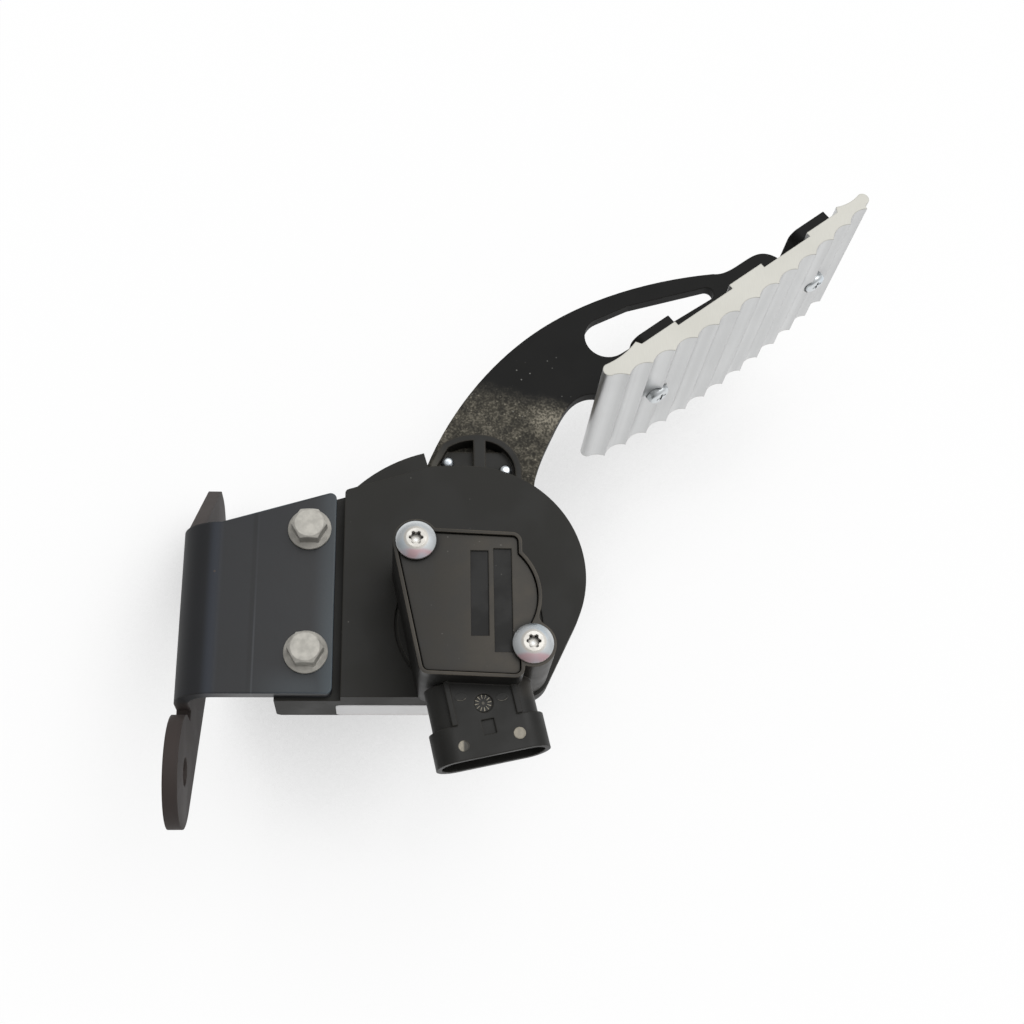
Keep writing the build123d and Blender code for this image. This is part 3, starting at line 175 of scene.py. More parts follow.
class PedalColours(bpy.types.PropertyGroup):
    """Base colours of the finishes"""

    bracket: FloatVectorProperty(
        name="Bracket", description="Black oxide with a blue cast", subtype="COLOR",
        default=(0.0120, 0.0128, 0.0150), min=0, max=1)
    nylon: FloatVectorProperty(
        name="Nylon", description="Glass-filled black nylon", subtype="COLOR",
        default=(0.0165, 0.0160, 0.0138), min=0, max=1)
    sensor: FloatVectorProperty(
        name="Sensor", description="Black sensor case", subtype="COLOR",
        default=(0.0135, 0.0132, 0.0118), min=0, max=1)
    rubbed: FloatVectorProperty(
        name="Rubbed Edge", description="Brown-grey of handled plastic edges", subtype="COLOR",
        default=(0.115, 0.100, 0.080), min=0, max=1)
    arm: FloatVectorProperty(
        name="Arm", description="Matt black paint of the arm", subtype="COLOR",
        default=(0.0058, 0.0058, 0.0054), min=0, max=1)
    dust: FloatVectorProperty(
        name="Dust", description="Pale brown grit on the arm", subtype="COLOR",
        default=(0.224, 0.205, 0.162), min=0, max=1)
    aluminium: FloatVectorProperty(
        name="Aluminium", description="Extruded pad", subtype="COLOR",
        default=(0.635, 0.64, 0.64), min=0, max=1)
    zinc: FloatVectorProperty(
        name="Zinc", description="Bright zinc plate on the screws", subtype="COLOR",
        default=(0.68, 0.71, 0.725), min=0, max=1)
    bolt: FloatVectorProperty(
        name="Bolt", description="Warm grey coating of the bracket bolts", subtype="COLOR",
        default=(0.44, 0.425, 0.385), min=0, max=1)
    brass: FloatVectorProperty(
        name="Brass", description="Threaded inserts and bushes", subtype="COLOR",
        default=(0.60, 0.44, 0.20), min=0, max=1)
    steel: FloatVectorProperty(
        name="Steel", description="Shaft, washers and springs", subtype="COLOR",
        default=(0.42, 0.42, 0.43), min=0, max=1)
    board: FloatVectorProperty(
        name="Board", description="Lacquered circuit board", subtype="COLOR",
        default=(0.03, 0.16, 0.07), min=0, max=1)
    sawn: FloatVectorProperty(
        name="Sawn End", description="Cream grey of the pad's sawn ends", subtype="COLOR",
        default=(0.64, 0.63, 0.575), min=0, max=1)
    # Dirt and painted shade in the drives of the screws
    dirt: FloatVectorProperty(
        name="Dirt", description="Dark dirt in recesses", subtype="COLOR",
        default=(0.020, 0.018, 0.016), min=0, max=1)
    label: FloatVectorProperty(
        name="Label", description="Bare white label film", subtype="COLOR",
        default=(0.74, 0.74, 0.74), min=0, max=1)
    pin_mark: FloatVectorProperty(
        name="Ejector Mark", description="Pale worn ejector marks", subtype="COLOR",
        default=(0.34, 0.31, 0.25), min=0, max=1)


class PedalStage(bpy.types.PropertyGroup):
    """Floor, light and camera"""

    floor_size: FloatProperty(
        name="Floor Size", description="Side of the square floor", default=6.0, unit="LENGTH")
    floor_colour: FloatVectorProperty(
        name="Floor Colour", description="Pale floor", subtype="COLOR",
        default=(1.0, 1.0, 1.0), min=0, max=1)
    floor_glow: FloatProperty(
        name="Floor Glow", description="Share of plain white that the floor shows to the eye",
        default=0.84, min=0, max=1, subtype="FACTOR")
    contact_reach: FloatProperty(
        name="Contact Reach", description="How near the pedal must be to shade the floor's white",
        default=0.080, unit="LENGTH")
    contact_shade: FloatProperty(
        name="Contact Shade", description="Floor's white right under the pedal",
        default=0.48, min=0, max=1, subtype="FACTOR")
    horizon_level: FloatProperty(
        name="Horizon Level", description="Light of the room at the horizon", default=0.55, min=0)
    zenith_level: FloatProperty(
        name="Zenith Level", description="Light of the room overhead", default=1.30, min=0)
    shade_share: FloatProperty(
        name="Shade Share", description="Light of the room's dark side as a share of its bright side",
        default=0.35, min=0, max=1, subtype="FACTOR")
    room_side: FloatVectorProperty(
        name="Room Side", description="Bright side of the room, seen from the pedal",
        default=(0.8, 0.6, 0.0), subtype="DIRECTION")
    key_level: FloatProperty(
        name="Key Level", description="Soft lamp from the upper right", default=0.95, min=0)
    key_spread: FloatProperty(
        name="Key Spread", description="Apparent width of the lamp",
        default=radians(40), subtype="ANGLE")
    key_from: FloatVectorProperty(
        name="Key Direction", description="Where the lamp stands, seen from the pedal",
        default=(0.34, 0.30, 1.0), subtype="DIRECTION")
    lens: FloatProperty(
        name="Lens", description="Focal length in millimetres on a 36 mm sensor", default=53.05)


# Meshes from whole arrays

def grid_faces(rows, columns, wrap):
    """Quads of a grid of rows by columns, row by row; wrap joins the last column to the first."""
    first = np.arange(rows - 1)[:, None] * columns
    across = np.arange(columns if wrap else columns - 1)[None, :]
    following = (across + 1) % columns
    quads = np.stack(
        [first + across, first + following, first + columns + following, first + columns + across], axis=-1)
    return quads.reshape(-1, 4)


def mesh_piece(name, points, faces, material, body):
    """An object at the origin whose mesh holds the points and quads, riding on a body."""
    mesh = bpy.data.meshes.new(name)
    mesh.from_pydata(points.reshape(-1, 3).tolist(), [], faces.tolist())
    mesh.shade_smooth()
    mesh.materials.append(material)
    piece = bpy.data.objects.new(name, mesh)
    bpy.context.scene.collection.objects.link(piece)
    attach(piece, body)
    return piece


def rounded_plate(length, height, corner, thickness, rings=6, columns=96):
    """A thin plate with round corners, as points (along, up, out).

    At angle a the outline is the superellipse |x|^n + |y|^n = 1 scaled to the half sides,
    with n set by the corner radius. Rings shrink it towards the middle at full thickness,
    and the first two rings carry the rim down to zero.
    """
    angle = np.linspace(0, 2 * pi, columns, endpoint=False)
    power = min(length, height) / max(corner, 1e-6)
    reach = (np.abs(np.cos(angle)) ** power + np.abs(np.sin(angle)) ** power) ** (-1 / power)
    along = reach * np.cos(angle) * length / 2
    upward = reach * np.sin(angle) * height / 2
    outline = np.stack([along, upward], axis=-1)
    share = np.concatenate([[1.0, 1.0], np.linspace(0.995, 0.0, rings)])
    out = np.concatenate([[0.0, thickness * 0.7], np.full(rings, thickness)])
    points = np.empty((len(share), columns, 3))
    points[..., :2] = share[:, None, None] * outline[None]
    points[..., 2] = out[:, None]
    return points, grid_faces(len(share), columns, wrap=True)


def round_relief(radius, height, rings=28, columns=144):
    """A disc in relief, as points (across, back, up).

    Its height is a function of the share of the radius and of the angle.
    """
    share = np.linspace(1.0, 0.0, rings)[:, None]
    angle = np.linspace(0, 2 * pi, columns, endpoint=False)[None, :]
    points = np.empty((rings, columns, 3))
    points[..., 0] = radius * share * np.cos(angle)
    points[..., 1] = radius * share * np.sin(angle)
    points[..., 2] = height(share, angle)
    return points, grid_faces(rings, columns, wrap=True)


def on_shroud(points, across, back):
    """Points given across, back and up, set on top of the plug shroud."""
    middle = np.array(PLUG_MOUTH + PLUG_ACROSS * across + PLUG_BACK * back)
    axes = np.array([PLUG_ACROSS, PLUG_BACK, (0, 0, 1)])
    return points @ axes + middle


# Node helpers

def node(tree, kind, **values):
    """A shader node; keywords set its attributes, and inputs given as a dictionary set its sockets."""
    made = tree.nodes.new("ShaderNode" + kind)
    sockets = values.pop("inputs", {})
    for key, value in values.items():
        setattr(made, key, value)
    for key, value in sockets.items():
        if isinstance(value, bpy.types.NodeSocket):
            tree.links.new(value, made.inputs[key])
        else:
            made.inputs[key].default_value = value
    return made


def coordinates(tree, scale=(1, 1, 1), turn=(0, 0, 0), place=(0, 0, 0)):
    """Object coordinates through a mapping."""
    source = node(tree, "TexCoord")
    mapping = node(
        tree, "Mapping",
        inputs={"Vector": source.outputs["Object"], "Scale": scale, "Rotation": turn, "Location": place})
    return mapping.outputs["Vector"]


def axis_of(tree, axis, source="Object"):
    """One coordinate of the surface, by its letter."""
    parts = node(tree, "SeparateXYZ", inputs={"Vector": node(tree, "TexCoord").outputs[source]})
    return parts.outputs[axis]


def between(tree, value, low, high, to_low=0.0, to_high=1.0):
    """A value carried smoothly from one range to another."""
    made = node(
        tree, "MapRange", interpolation_type="SMOOTHSTEP",
        inputs={"Value": value, "From Min": low, "From Max": high, "To Min": to_low, "To Max": to_high})
    return made.outputs["Result"]


def times(tree, first, second, operation="MULTIPLY"):
    """The product of two values, or what another operation makes of them, kept between 0 and 1."""
    made = node(tree, "Math", operation=operation, use_clamp=True, inputs={0: first, 1: second})
    return made.outputs["Value"]


def plus(tree, first, second):
    """The sum of two values, kept between 0 and 1."""
    return times(tree, first, second, "ADD")


def larger(tree, first, second):
    """The larger of two values, kept between 0 and 1."""
    return times(tree, first, second, "MAXIMUM")


def band(tree, value, span):
    """A mask that rises over the first part of a span and falls over the second."""
    rise, fall = span
    return times(tree, between(tree, value, *rise), between(tree, value, *fall))


def facing(tree, axis):
    """One coordinate of the surface's normal, by its letter."""
    parts = node(tree, "SeparateXYZ", inputs={"Vector": node(tree, "NewGeometry").outputs["Normal"]})
    return parts.outputs[axis]


def noise(tree, place, scale, detail):
    """Noise over a place, as a value."""
    made = node(tree, "TexNoise", inputs={"Vector": place, "Scale": scale, "Detail": detail})
    return made.outputs["Fac"]


def blend(tree, share, low, high, mode="MIX"):
    """Two colours mixed by a share."""
    colours = [c if isinstance(c, bpy.types.NodeSocket) else (*c[:3], 1) for c in (low, high)]
    made = node(
        tree, "Mix", data_type="RGBA", blend_type=mode,
        inputs={"Factor": share, 6: colours[0], 7: colours[1]})
    return made.outputs[2]


def shared_group(name, inputs, outputs):
    """A new shader node group with float inputs and named outputs, and the sockets inside it."""
    group = bpy.data.node_groups.new(name, "ShaderNodeTree")
    for label, value in inputs.items():
        socket = group.interface.new_socket(label, in_out="INPUT", socket_type="NodeSocketFloat")
        socket.default_value = value
    for label, kind in outputs.items():
        group.interface.new_socket(label, in_out="OUTPUT", socket_type=kind)
    given = group.nodes.new("NodeGroupInput").outputs
    put = group.nodes.new("NodeGroupOutput").inputs
    return group, given, put


def edge_wear_group():
    """Edge Wear: a rounded normal, and a mask that grows as it leaves the plain normal."""
    group, given, put = shared_group(
        "Edge Wear", {"Radius": 0.0006, "Gain": 6.0},
        {"Mask": "NodeSocketFloat", "Normal": "NodeSocketVector"})
    rounded = node(group, "Bevel", samples=6, inputs={"Radius": given["Radius"]})
    plain = node(group, "NewGeometry")
    likeness = node(
        group, "VectorMath", operation="DOT_PRODUCT",
        inputs={0: rounded.outputs["Normal"], 1: plain.outputs["Normal"]})
    apart = node(group, "Math", operation="SUBTRACT", inputs={0: 1.0, 1: likeness.outputs["Value"]})
    mask = times(group, apart.outputs["Value"], given["Gain"])
    group.links.new(mask, put["Mask"])
    group.links.new(rounded.outputs["Normal"], put["Normal"])
    return group


def crevice_group():
    """Crevice: a mask that grows where the surface is closed in by its surroundings."""
    group, given, put = shared_group(
        "Crevice", {"Reach": 0.002, "Open": 0.85, "Closed": 0.25}, {"Mask": "NodeSocketFloat"})
    light = node(group, "AmbientOcclusion", samples=8, inputs={"Distance": given["Reach"]})
    group.links.new(between(group, light.outputs["AO"], given["Open"], given["Closed"]), put["Mask"])
    return group


def moulded_grain_group():
    """Moulded Grain: fine spark-eroded texture as a height, and slow cloudy change as a tone."""
    group, given, put = shared_group(
        "Moulded Grain", {"Grain Scale": 1800.0, "Cloud Scale": 60.0},
        {"Height": "NodeSocketFloat", "Tone": "NodeSocketFloat"})
    place = node(group, "TexCoord").outputs["Object"]
    fine = noise(group, place, given["Grain Scale"], 3.0)
    slow = noise(group, place, given["Cloud Scale"], 4.0)
    group.links.new(fine, put["Height"])
    group.links.new(between(group, slow, 0.3, 0.7), put["Tone"])
    return group


def grit_group():
    """Grit: scattered round specks, one to a cell, kept by the cell's random colour."""
    group, given, put = shared_group(
        "Grit", {"Scale": 900.0, "Size": 0.30, "Amount": 0.2}, {"Mask": "NodeSocketFloat"})
    place = node(group, "TexCoord").outputs["Object"]
    cells = node(group, "TexVoronoi", inputs={"Vector": place, "Scale": given["Scale"]})
    near = between(group, cells.outputs["Distance"], given["Size"], 0.08)
    lot = node(group, "SeparateColor", inputs={"Color": cells.outputs["Color"]})
    kept = times(group, lot.outputs["Red"], given["Amount"], "LESS_THAN")
    group.links.new(times(group, near, kept), put["Mask"])
    return group


def drawn_lines_group():
    """Drawn Lines: streaks along Z, from noise squeezed across and stretched along that axis."""
    group, given, put = shared_group(
        "Drawn Lines", {"Across": 2600.0, "Along": 14.0},
        {"Height": "NodeSocketFloat", "Tone": "NodeSocketFloat"})
    place = node(group, "TexCoord").outputs["Object"]
    size = node(
        group, "CombineXYZ", inputs={"X": given["Across"], "Y": given["Across"], "Z": given["Along"]})
    stretched = node(
        group, "VectorMath", operation="MULTIPLY", inputs={0: place, 1: size.outputs["Vector"]})
    streaks = noise(group, stretched.outputs["Vector"], 1.0, 3.0)
    wide = noise(group, stretched.outputs["Vector"], 0.12, 2.0)
    group.links.new(streaks, put["Height"])
    group.links.new(between(group, wide, 0.3, 0.7), put["Tone"])
    return group


def use_group(tree, name, **values):
    """A shared group placed in a material with its own values."""
    made = tree.nodes.new("ShaderNodeGroup")
    made.node_tree = bpy.data.node_groups[name]
    for key, value in values.items():
        made.inputs[key.replace("_", " ").title()].default_value = value
    return made.outputs


def start_material(name, **settings):
    """A material with a Principled shader whose plain sockets are set."""
    material = bpy.data.materials.new(name)
    material.use_nodes = True
    shader = material.node_tree.nodes["Principled BSDF"]
    for key, value in settings.items():
        shader.inputs[key.replace("_", " ")].default_value = value
    return material, material.node_tree, shader


def feed(tree, shader, colour=None, roughness=None, height=None, relief=0.1, depth=0.0001, normal=None):
    """Colour, roughness and bump sockets led to the shader."""
    if colour is not None:
        tree.links.new(colour, shader.inputs["Base Color"])
    if roughness is not None:
        tree.links.new(roughness, shader.inputs["Roughness"])
    if height is not None:
        bump = node(tree, "Bump", inputs={"Strength": relief, "Distance": depth, "Height": height})
        if normal is not None:
            tree.links.new(normal, bump.inputs["Normal"])
        normal = bump.outputs["Normal"]
    if normal is not None:
        tree.links.new(normal, shader.inputs["Normal"])


def lighter(colour, share):
    """A colour made lighter or darker by a factor."""
    return tuple(min(1.0, c * share) for c in colour[:3])


# Finishes

def nylon_finish(name, colour, rubbed, roughness=0.56):
    """Moulded nylon: cloudy black, fine grain, a few pale specks and slightly rubbed edges."""
    material, tree, shader = start_material(name, Specular_IOR_Level=0.26)
    edge = use_group(tree, "Edge Wear", radius=0.0005, gain=5.0)
    grain = use_group(tree, "Moulded Grain", grain_scale=2200.0, cloud_scale=55.0)
    grit = use_group(tree, "Grit", scale=520.0, size=0.16, amount=0.05)
    base = blend(tree, grain["Tone"], lighter(colour, 0.86), lighter(colour, 1.16))
    worn = blend(tree, times(tree, edge["Mask"], 0.25), base, rubbed)
    dusted = blend(tree, times(tree, grit["Mask"], 0.35), worn, PALE_SPECK)
    rough = between(tree, grain["Tone"], 0.0, 1.0, roughness - 0.05, roughness + 0.06)
    feed(tree, shader, dusted, rough, grain["Height"], relief=0.18, depth=0.00006, normal=edge["Normal"])
    return material


def metal_finish(name, colour, tint, roughness, metallic=1.0):
    """Bare or plated metal: two close colours in soft clouds, with fine handling marks."""
    material, tree, shader = start_material(name, Metallic=metallic)
    edge = use_group(tree, "Edge Wear", radius=0.0003, gain=4.0)
    grain = use_group(tree, "Moulded Grain", grain_scale=3200.0, cloud_scale=160.0)
    base = blend(tree, grain["Tone"], colour, tint)
    bright = blend(tree, times(tree, edge["Mask"], 0.35), base, lighter(colour, 1.3))
    rough = between(tree, grain["Height"], 0.25, 0.75, roughness - 0.08, roughness + 0.08)
    feed(tree, shader, bright, rough, grain["Height"], relief=0.08, depth=0.00003, normal=edge["Normal"])
    return material


def bracket_finish(colours):
    """Black oxide on folded steel.

    A painted bluish highlight runs along the fold, and a painted pale blue sheen lies towards the bolted
    end and along the lower edge. A press line crosses it, with painted shade in its groove; its edges
    are rubbed to blue steel, and the bulkhead flange is browner. The stretched fold and the flange are
    duller than the plate.
    """
    material, tree, shader = start_material("bracket_paint", Specular_IOR_Level=0.38)
    edge = use_group(tree, "Edge Wear", radius=0.0009, gain=4.0)
    grain = use_group(tree, "Moulded Grain", grain_scale=900.0, cloud_scale=34.0)
    grit = use_group(tree, "Grit", scale=260.0, size=0.12, amount=0.06)
    x = axis_of(tree, "X")
    y = axis_of(tree, "Y")
    z = axis_of(tree, "Z")
    base = blend(tree, grain["Tone"], lighter(colours.bracket, 0.8), lighter(colours.bracket, 1.25))
    flat = between(tree, z, PLATE_Z - 0.002, PLATE_Z - 0.0005)
    ears = larger(tree, between(tree, y, -0.029, -0.032), between(tree, y, 0.028, 0.031))
    below = larger(tree, between(tree, z, PLATE_Z - 0.008, PLATE_Z - 0.014), ears)
    flange = times(tree, below, between(tree, x, 0.0075, 0.0030, 0.0, 0.85))
    brown = blend(tree, flange, base, FLANGE_BROWN)
    # A painted bluish highlight along the bend of the fold
    fold_highlight = times(tree, band(tree, x, FOLD_HIGHLIGHT_SPAN), 0.8)
    fold_lit = blend(tree, fold_highlight, brown, FOLD_HIGHLIGHT_BLUE)
    # Painted shade in the press groove
    groove = times(tree, band(tree, x, PRESS_GROOVE), 0.55)
    sunk = blend(tree, groove, fold_lit, lighter(colours.bracket, 0.3))
    scratched = times(tree, band(tree, x, PRESS_LINE), between(tree, y, 0.012, -0.012, 0.08, 0.40))
    pressed = blend(tree, scratched, sunk, PRESS_STEEL)
    # A painted pale blue sheen on the plate, towards the bolted end and along its lower edge
    end = times(tree, between(tree, x, 0.0415, 0.0493), between(tree, y, 0.020, -0.026, 0.55, 1.0))
    low = times(tree, between(tree, y, -0.018, -0.0275, 0.0, 0.45), between(tree, x, 0.020, 0.040))
    sheen = times(tree, flat, larger(tree, end, low))
    cast = blend(tree, times(tree, sheen, 0.85), pressed, SHEEN_BLUE)
    rubbed = times(tree, edge["Mask"], between(tree, grain["Tone"], 0.1, 0.9, 0.25, 0.8))
    steel = blend(tree, between(tree, x, 0.004, 0.030), EDGE_BROWN, EDGE_BLUE)
    worn = blend(tree, times(tree, rubbed, 0.55), cast, steel)
    rusty = blend(tree, times(tree, grit["Mask"], 0.5), worn, RUST)
    plain = between(tree, grain["Tone"], 0.0, 1.0, 0.34, 0.48)
    rough = plus(tree, plain, between(tree, x, 0.015, 0.006, 0.0, 0.26))
    feed(tree, shader, rusty, rough, grain["Height"], relief=0.16, depth=0.00008, normal=edge["Normal"])
    return material


def flat_distance(tree, middle):
    """Distance from a point, looking along Z."""
    moved = coordinates(tree, scale=(1, 1, 0), place=(-middle[0], -middle[1], 0))
    return node(tree, "VectorMath", operation="LENGTH", inputs={0: moved}).outputs["Value"]


def arm_finish(colours):
    """Matt black paint under road dust.

    A thin film and fine grit lie on the upper face, between the crown and a ragged slanting
    line. They are heaped along the arm's front edge, with a few stray specks beyond the line.
    """
    material, tree, shader = start_material("arm_paint", Specular_IOR_Level=0.14)
    edge = use_group(tree, "Edge Wear", radius=0.0007, gain=4.0)
    grain = use_group(tree, "Moulded Grain", grain_scale=1300.0, cloud_scale=70.0)
    grit = use_group(tree, "Grit", scale=760.0, size=0.38, amount=0.20)
    stray = use_group(tree, "Grit", scale=620.0, size=0.22, amount=0.10)
    place = coordinates(tree)
    fine = noise(tree, place, 1350.0, 4.0)
    clump = noise(tree, place, 240.0, 3.0)
    slanted = plus(tree, times(tree, axis_of(tree, "X"), DUST_SLANT), axis_of(tree, "Y"))
    ragged = plus(tree, slanted, times(tree, clump, DUST_RAGGED))
    upward = between(tree, facing(tree, "Z"), 0.3, 0.8)
    zone = times(tree, upward, between(tree, ragged, DUST_LINE + 0.010, DUST_LINE - 0.001))
    dust = times(tree, zone, between(tree, clump, 0.38, 0.62, 0.45, 1.0))
    base = blend(tree, grain["Tone"], lighter(colours.arm, 0.85), lighter(colours.arm, 1.2))
    film = blend(tree, times(tree, dust, 0.25), base, colours.dust)
    mottle = times(tree, dust, between(tree, fine, 0.40, 0.70, 0.0, 0.46))
    dusty = blend(tree, mottle, film, lighter(colours.dust, 1.35))
    heap = times(tree, zone, between(tree, flat_distance(tree, DUST_HEAP), 0.011, 0.001))
    piled = times(tree, heap, between(tree, fine, 0.38, 0.66, 0.15, 0.75))
    heaped = blend(tree, piled, dusty, lighter(colours.dust, 1.8))
    grains = times(tree, times(tree, grit["Mask"], dust), 0.55)
    gritty = blend(tree, grains, heaped, lighter(colours.dust, 2.2))
    beyond = times(tree, stray["Mask"], between(tree, flat_distance(tree, STRAY_SPECKS), 0.030, 0.004))
    specked = blend(tree, times(tree, beyond, 0.7), gritty, STRAY_GRIT)
    worn = blend(tree, times(tree, edge["Mask"], 0.22), specked, ARM_EDGE)
    rough = between(tree, dust, 0.0, 1.0, 0.52, 0.8)
    feed(tree, shader, worn, rough, grain["Height"], relief=0.22, depth=0.00008, normal=edge["Normal"])
    return material


def pad_finish(colours):
    """Extruded aluminium: faint die lines along the ridges, painted highlights on the edges, painted shade
    in the flutes and matt sawn ends.
    """
    material, tree, shader = start_material("pad_aluminium")
    edge = use_group(tree, "Edge Wear", radius=0.0005, gain=4.0)
    lines = use_group(tree, "Drawn Lines", across=2400.0, along=10.0)
    grain = use_group(tree, "Moulded Grain", grain_scale=1500.0, cloud_scale=40.0)
    base = blend(tree, lines["Tone"], lighter(colours.aluminium, 0.95), lighter(colours.aluminium, 1.05))
    z = axis_of(tree, "Z")
    sawn = plus(
        tree, between(tree, z, PAD_TOP_Z - 0.0003, PAD_TOP_Z - 0.0001),
        between(tree, z, PAD_LOW_Z + 0.0003, PAD_LOW_Z + 0.0001))
    sawing = coordinates(tree, scale=(5200, 260, 1), turn=(0, 0, radians(-75)))
    marks = noise(tree, sawing, 1.0, 2.0)
    end = blend(tree, marks, lighter(colours.sawn, 0.93), lighter(colours.sawn, 1.07))
    # Painted shade in the flutes, darker where they are closed in
    flute = use_group(tree, "Crevice", reach=0.006, open=0.98, closed=0.72)
    dulled = blend(tree, times(tree, flute["Mask"], 0.28), base, lighter(colours.aluminium, 0.72))
    # Painted highlight along the ridges and edges
    bright = blend(tree, times(tree, edge["Mask"], 0.45), dulled, PAD_RIDGE_HIGHLIGHT)
    colour = blend(tree, sawn, bright, end)
    tree.links.new(between(tree, sawn, 0.0, 1.0, 0.85, 0.12), shader.inputs["Metallic"])
    plain = between(tree, grain["Tone"], 0.0, 1.0, 0.28, 0.36)
    rough = plus(tree, plain, times(tree, sawn, 0.25))
    feed(tree, shader, colour, rough, lines["Height"], relief=0.12, depth=0.00004, normal=edge["Normal"])
    return material


def sensor_finish(colours):
    """Black sensor case whose upper rim and screw column are rubbed to a brown grey."""
    material, tree, shader = start_material("sensor_plastic", Specular_IOR_Level=0.26)
    edge = use_group(tree, "Edge Wear", radius=0.0006, gain=5.0)
    grain = use_group(tree, "Moulded Grain", grain_scale=2400.0, cloud_scale=80.0)
    x = axis_of(tree, "X")
    y = axis_of(tree, "Y")
    z = axis_of(tree, "Z")
    rim = between(tree, z, RIM_Z - 0.0007, RIM_Z - 0.0002)
    driver_side = between(tree, x, 0.080, 0.108, 0.15, 0.75)
    side = plus(tree, driver_side, between(tree, y, 0.010, -0.030, 0.2, 0.8))
    rubbed = times(tree, times(tree, rim, side), between(tree, grain["Tone"], 0.0, 0.7, 0.45, 1.0))
    column = times(tree, between(tree, x, 0.1035, 0.108), band(tree, y, SCREW_BOSS))
    base = blend(tree, grain["Tone"], lighter(colours.sensor, 0.85), lighter(colours.sensor, 1.2))
    cast = blend(tree, times(tree, column, 0.35), base, lighter(colours.rubbed, 0.55))
    worn = blend(tree, times(tree, rubbed, 0.42), cast, colours.rubbed)
    bare = times(tree, edge["Mask"], between(tree, rubbed, 0.0, 0.6, 0.14, 0.8))
    corner = blend(tree, bare, worn, lighter(colours.rubbed, 1.25))
    rough = between(tree, grain["Tone"], 0.0, 1.0, 0.42, 0.55)
    feed(tree, shader, corner, rough, grain["Height"], relief=0.15, depth=0.00005, normal=edge["Normal"])
    return material


def lid_finish(colours):
    """Sensor lid: black, browner with dust towards the driver's side, darker in the sunk panels, with
    painted shade where it is closed in.
    """
    material, tree, shader = start_material("lid_plastic", Specular_IOR_Level=0.28)
    edge = use_group(tree, "Edge Wear", radius=0.0005, gain=5.0)
    grain = use_group(tree, "Moulded Grain", grain_scale=2000.0, cloud_scale=120.0)
    grit = use_group(tree, "Grit", scale=620.0, size=0.2, amount=0.12)
    x = axis_of(tree, "X")
    z = axis_of(tree, "Z")
    raised = between(tree, z, LID_Z - 0.0004, LID_Z - 0.0001)
    settled = times(tree, between(tree, x, 0.074, 0.106, 0.15, 0.52), raised)
    dust = times(tree, settled, between(tree, grain["Tone"], 0.0, 1.0, 0.6, 1.0))
    base = blend(tree, grain["Tone"], lighter(colours.sensor, 0.9), lighter(colours.sensor, 1.25))
    sunk = blend(tree, raised, lighter(colours.sensor, 0.5), base)
    dusty = blend(tree, dust, sunk, colours.rubbed)
    worn = blend(tree, times(tree, edge["Mask"], 0.25), dusty, lighter(colours.rubbed, 0.8))
    # Painted shade where the lid is closed in, as in the groove along its edge
    crevice = use_group(tree, "Crevice", reach=0.0028, open=0.97, closed=0.70)
    shaded_margin = blend(tree, times(tree, crevice["Mask"], 0.8), worn, lighter(colours.sensor, 0.45))
    specked = blend(tree, times(tree, grit["Mask"], 0.4), shaded_margin, PALE_SPECK)
    rough = between(tree, grain["Tone"], 0.0, 1.0, 0.46, 0.58)
    feed(tree, shader, specked, rough, grain["Height"], relief=0.2, depth=0.00006, normal=edge["Normal"])
    return material


def zinc_finish(colours):
    """Bright zinc plate with a blue cast.

    The sensor screws carry a painted pink reflection on the side towards -Y and are worn warm on top,
    with the same cream painted as shade in their drives. The screws deep in the crown carry painted
    shade, and grime with painted shade darkens the deepest parts of the drives.
    """
    material, tree, shader = start_material("zinc_screw")
    edge = use_group(tree, "Edge Wear", radius=0.0002, gain=4.0)
    grain = use_group(tree, "Moulded Grain", grain_scale=2600.0, cloud_scale=430.0)
    z = axis_of(tree, "Z")
    hue = noise(tree, coordinates(tree), 150.0, 1.0)
    high = between(tree, z, LID_Z - 0.004, LID_Z)
    # A painted pink reflection on the side of the sensor screws that faces -Y
    front = between(tree, facing(tree, "Y"), -0.36, -0.50)
    pink_reflection_share = times(tree, high, times(tree, front, between(tree, hue, 0.30, 0.55, 0.7, 1.0)))
    pink = blend(tree, pink_reflection_share, colours.zinc, PINK_REFLECTION)
    blue = blend(tree, between(tree, hue, 0.50, 0.30, 0.0, 0.6), pink, ZINC_BLUE)
    plated = blend(tree, times(tree, edge["Mask"], 0.4), blue, ZINC_EDGE)
    top = between(tree, z, BUTTON_Z - 0.0005, BUTTON_Z - 0.0002)
    # In the drives of the sensor screws this cream is painted shade; on their flat tops it is wear
    socket = use_group(tree, "Crevice", reach=0.0020, open=0.97, closed=0.80)
    worn = larger(tree, top, times(tree, high, socket["Mask"]))
    handled = blend(tree, times(tree, worn, 0.9), plated, ZINC_HANDLED)
    # Painted shade on the screws deep in the crown
    deep = between(tree, z, 0.026, 0.022)
    deep_shade = times(tree, deep, between(tree, grain["Tone"], 0.0, 1.0, 0.5, 1.0))
    bright = blend(tree, deep_shade, handled, ZINC_DEEP_SHADE)
    # Grime and painted shade where the drives are closed in
    crevice = use_group(tree, "Crevice", reach=0.0016, open=0.80)
    grimed_and_shaded = blend(tree, crevice["Mask"], bright, colours.dirt)
    tree.links.new(between(tree, crevice["Mask"], 0.0, 1.0, 1.0, 0.0), shader.inputs["Metallic"])
    plain = between(tree, grain["Tone"], 0.0, 1.0, 0.28, 0.38)
    dulled = plus(tree, plain, times(tree, crevice["Mask"], 0.4))
    rough = plus(tree, dulled, times(tree, worn, 0.25))
    feed(tree, shader, grimed_and_shaded, rough, grain["Height"], relief=0.05, depth=0.00003, normal=edge["Normal"])
    return material


